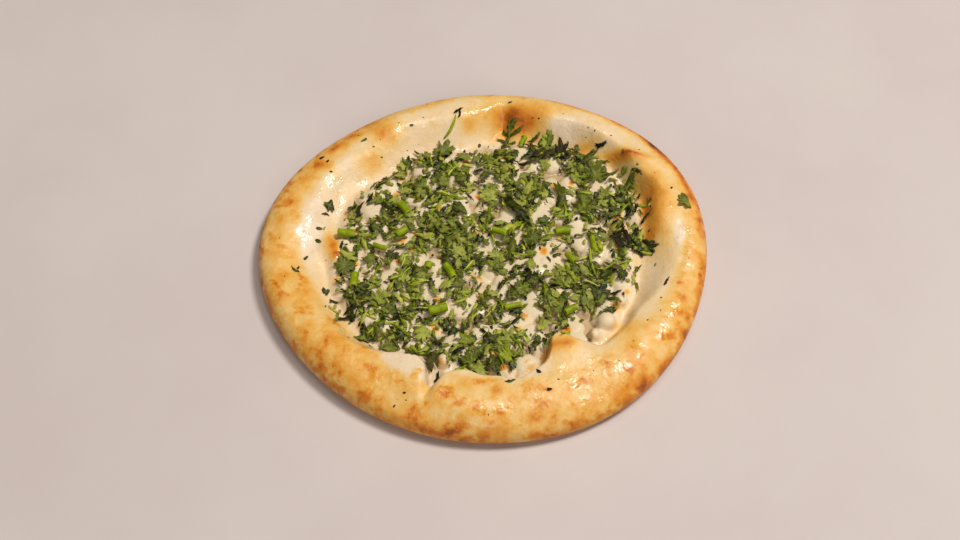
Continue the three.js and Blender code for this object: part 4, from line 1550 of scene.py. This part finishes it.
@dataclass(frozen=True)
class CutStems:
    """The bright cut stems that lie among the leaves."""

    form: DoughForm
    finish: HerbGreen = STALK_GREEN
    sides: int = 18
    rings: int = 7
    cut_end: tuple[tuple[float, float], ...] = (
        (0.35, 0.0), (0.3, 0.55), (0.02, 0.62), (0.02, 0.9), (0.2, 1.0),
    )
    side_tint: float = 0.35
    skin_tint: float = 0.95
    pith_tint: float = 0.2
    core_tint: float = 0.1
    rest_on: float = 2.8
    clear: float = 0.4
    bow: float = 0.12
    ridges: int = 9
    ridge_high: float = 0.03
    stems: tuple[CutStem, ...] = (
        CutStem(-66, 9, 8, -4, 4.0), CutStem(-61, -17, 7, 85, 3.8), CutStem(-39, 24, 7.5, -55, 4.0),
        CutStem(-17, -12, 8, -60, 3.6), CutStem(-22, -33, 8.5, 18, 4.4), CutStem(-27, -10, 3, 75, 3.8, 1.0),
        CutStem(36, 11, 7, 5, 3.6), CutStem(39, -4, 6, -50, 2.8), CutStem(-40, 10, 6, 40, 3.6),
        CutStem(6, 10, 7, -20, 3.0), CutStem(38, -33, 6, 30, 3.2), CutStem(12, -30, 8, 12, 2.6),
        CutStem(50, 3, 9, 100, 2.6), CutStem(18, 66, 7, 70, 2.6), CutStem(-50, 2, 7, -20, 2.4),
    )

    def stem(self, stem: CutStem) -> Solid:
        """One stem with its two cut ends.

        Args:
            stem: Its sizes.

        Returns:
            Its corners in millimetres, its faces and its attributes.
        """
        bow = self.bow * math.sin(stem.x * 3.1)
        around = np.linspace(0, 2 * np.pi, self.sides, endpoint=False)
        half = stem.long / 2
        start = [(inset - half, share) for inset, share in self.cut_end]
        straight = [(s, 1.0) for s in np.linspace(-half, half, self.rings + 2)[1:-1]]
        stations = start + straight + [(-along, share) for along, share in reversed(start)]
        rows, tints = [], []
        for along, share in stations[1:-1]:
            radius = stem.thick / 2 * share * (1 + self.ridge_high * np.cos(self.ridges * around))
            ring = (np.full(self.sides, along), radius * np.cos(around), radius * np.sin(around))
            rows.append(np.stack(ring, 1))
            tint = self.side_tint if share == 1.0 else self.skin_tint if share > 0.6 else self.pith_tint
            tints.append(np.full(self.sides, tint))
        ends = np.array([[stations[0][0], 0, 0], [stations[-1][0], 0, 0]])
        body = np.concatenate([ends] + rows)
        rings = [2 + row * self.sides + np.arange(self.sides) for row in range(len(rows))]
        faces = [fan(0, rings[0])[:, ::-1]]
        faces += [np.roll(band(a, b), -1, axis=1) for a, b in zip(rings, rings[1:])]
        faces.append(fan(1, rings[-1]))
        bent = body[:, 1] + bow * body[:, 0] ** 2 / 4
        x, y = turned(body[:, 0], bent, -math.radians(stem.turn))
        ground = self.form.face(np.array([stem.x]), np.array([stem.y]), self.rest_on)[0]
        middle = ground + stem.thick / 2 + self.clear + stem.raised
        tint = np.concatenate([[self.core_tint] * 2] + tints)
        values = {"tint": tint, "vein": np.zeros(len(tint)), "border": np.zeros(len(tint))}
        return np.stack([stem.x + x, stem.y + y, middle + body[:, 2]], 1), faces, values

    def build(self) -> bpy.types.Object:
        """Builds all the stems as one piece."""
        return join_herbs("cut_stems", self.form, map(self.stem, self.stems), self.finish)


@dataclass(frozen=True)
class Lamp:
    """A square soft light that faces the bread.

    Its fields are its name, its direction from the bread, its distance and the length of its side in
    metres and its power in watts.
    """

    name: str
    toward: tuple[float, float, float]
    away: float
    size: float
    power: float

    def build(self) -> None:
        """Puts the light in the scene."""
        lamp = bpy.data.lights.new(self.name, "AREA")
        lamp.shape, lamp.size, lamp.energy = "SQUARE", self.size, self.power
        light = bpy.data.objects.new(self.name, lamp)
        light.location = Vector(self.toward).normalized() * self.away
        light.rotation_euler = Vector(self.toward).to_track_quat("Z", "Y").to_euler()
        bpy.context.scene.collection.objects.link(light)


@dataclass(frozen=True)
class Setting:
    """The pale floor, the soft lights and the camera."""

    form: DoughForm
    look_at: tuple[float, float, float] = (-3.07, -9.9, 8.0)
    away: float = 619.0
    elevation: float = 57.0
    lens: float = 50.0
    sensor: float = 36.0
    clip_start: float = 0.01
    floor_half: float = 4.0
    floor_colours: tuple[Colour, Colour] = (srgb(0.780, 0.718, 0.684), srgb(0.805, 0.748, 0.712))
    cloud: Patch = Patch(160.0, 0.3, 0.7)
    lamps: tuple[Lamp, ...] = (
        Lamp("key light", (0.44, 0.15, 0.88), 3.0, 0.7, 68.0),
        Lamp("overhead light", (0.05, 0.1, 1.0), 2.0, 0.8, 8.0),
        Lamp("fill light", (0.1, -0.8, 0.6), 2.5, 1.3, 14.0),
    )
    sky: Colour = (1.0, 0.97, 0.93, 1.0)
    sky_strength: float = 0.12

    def floor(self) -> None:
        """The plain pale floor that the bread lies on."""
        half = self.floor_half
        corners = np.array([[-half, -half, 0], [half, -half, 0], [half, half, 0], [-half, half, 0]])
        mesh = make_mesh("floor", corners, [np.array([[0, 1, 2, 3]])], {})
        look = Look("pale floor")
        colour = look.blend(look.patches(self.cloud), *self.floor_colours)
        mesh.materials.append(look.done({"Base Color": colour, "Roughness": 0.75}))
        floor = bpy.data.objects.new("floor", mesh)
        bpy.context.scene.collection.objects.link(floor)

    def camera(self) -> None:
        """The camera at the photograph's viewing angle."""
        rise = math.radians(self.elevation)
        target = Vector(self.look_at) * MM + self.form.home()
        back = Vector((0.0, -math.cos(rise), math.sin(rise)))
        data = bpy.data.cameras.new("camera")
        data.lens, data.sensor_width, data.clip_start = self.lens, self.sensor, self.clip_start
        camera = bpy.data.objects.new("camera", data)
        camera.location = target + back * self.away * MM
        camera.rotation_euler = back.to_track_quat("Z", "Y").to_euler()
        bpy.context.scene.collection.objects.link(camera)
        bpy.context.scene.camera = camera

    def build(self) -> None:
        """Sets the scene."""
        self.camera()
        self.floor()
        for lamp in self.lamps:
            lamp.build()
        world = bpy.data.worlds.new("studio")
        world.use_nodes = True
        Net(world.node_tree).feed(
            world.node_tree.nodes["Background"], {"Color": self.sky, "Strength": self.sky_strength}
        )
        bpy.context.scene.world = world
        bpy.context.scene.view_settings.view_transform = "Standard"


def main() -> None:
    """Builds the bread, its herbs and the setting."""
    logging.basicConfig(level=logging.INFO, format="%(message)s")
    form = DoughForm()
    Setting(form).build()
    bread = Bread(form).build()
    HerbMat(form).build(bread)
    CutStems(form).build()
    PlacedHerbs(form).build()
    BurntFlecks(form).build()
    for herb in LOOSE_HERBS:
        herb.build(form)


if __name__ == "__main__":
    main()
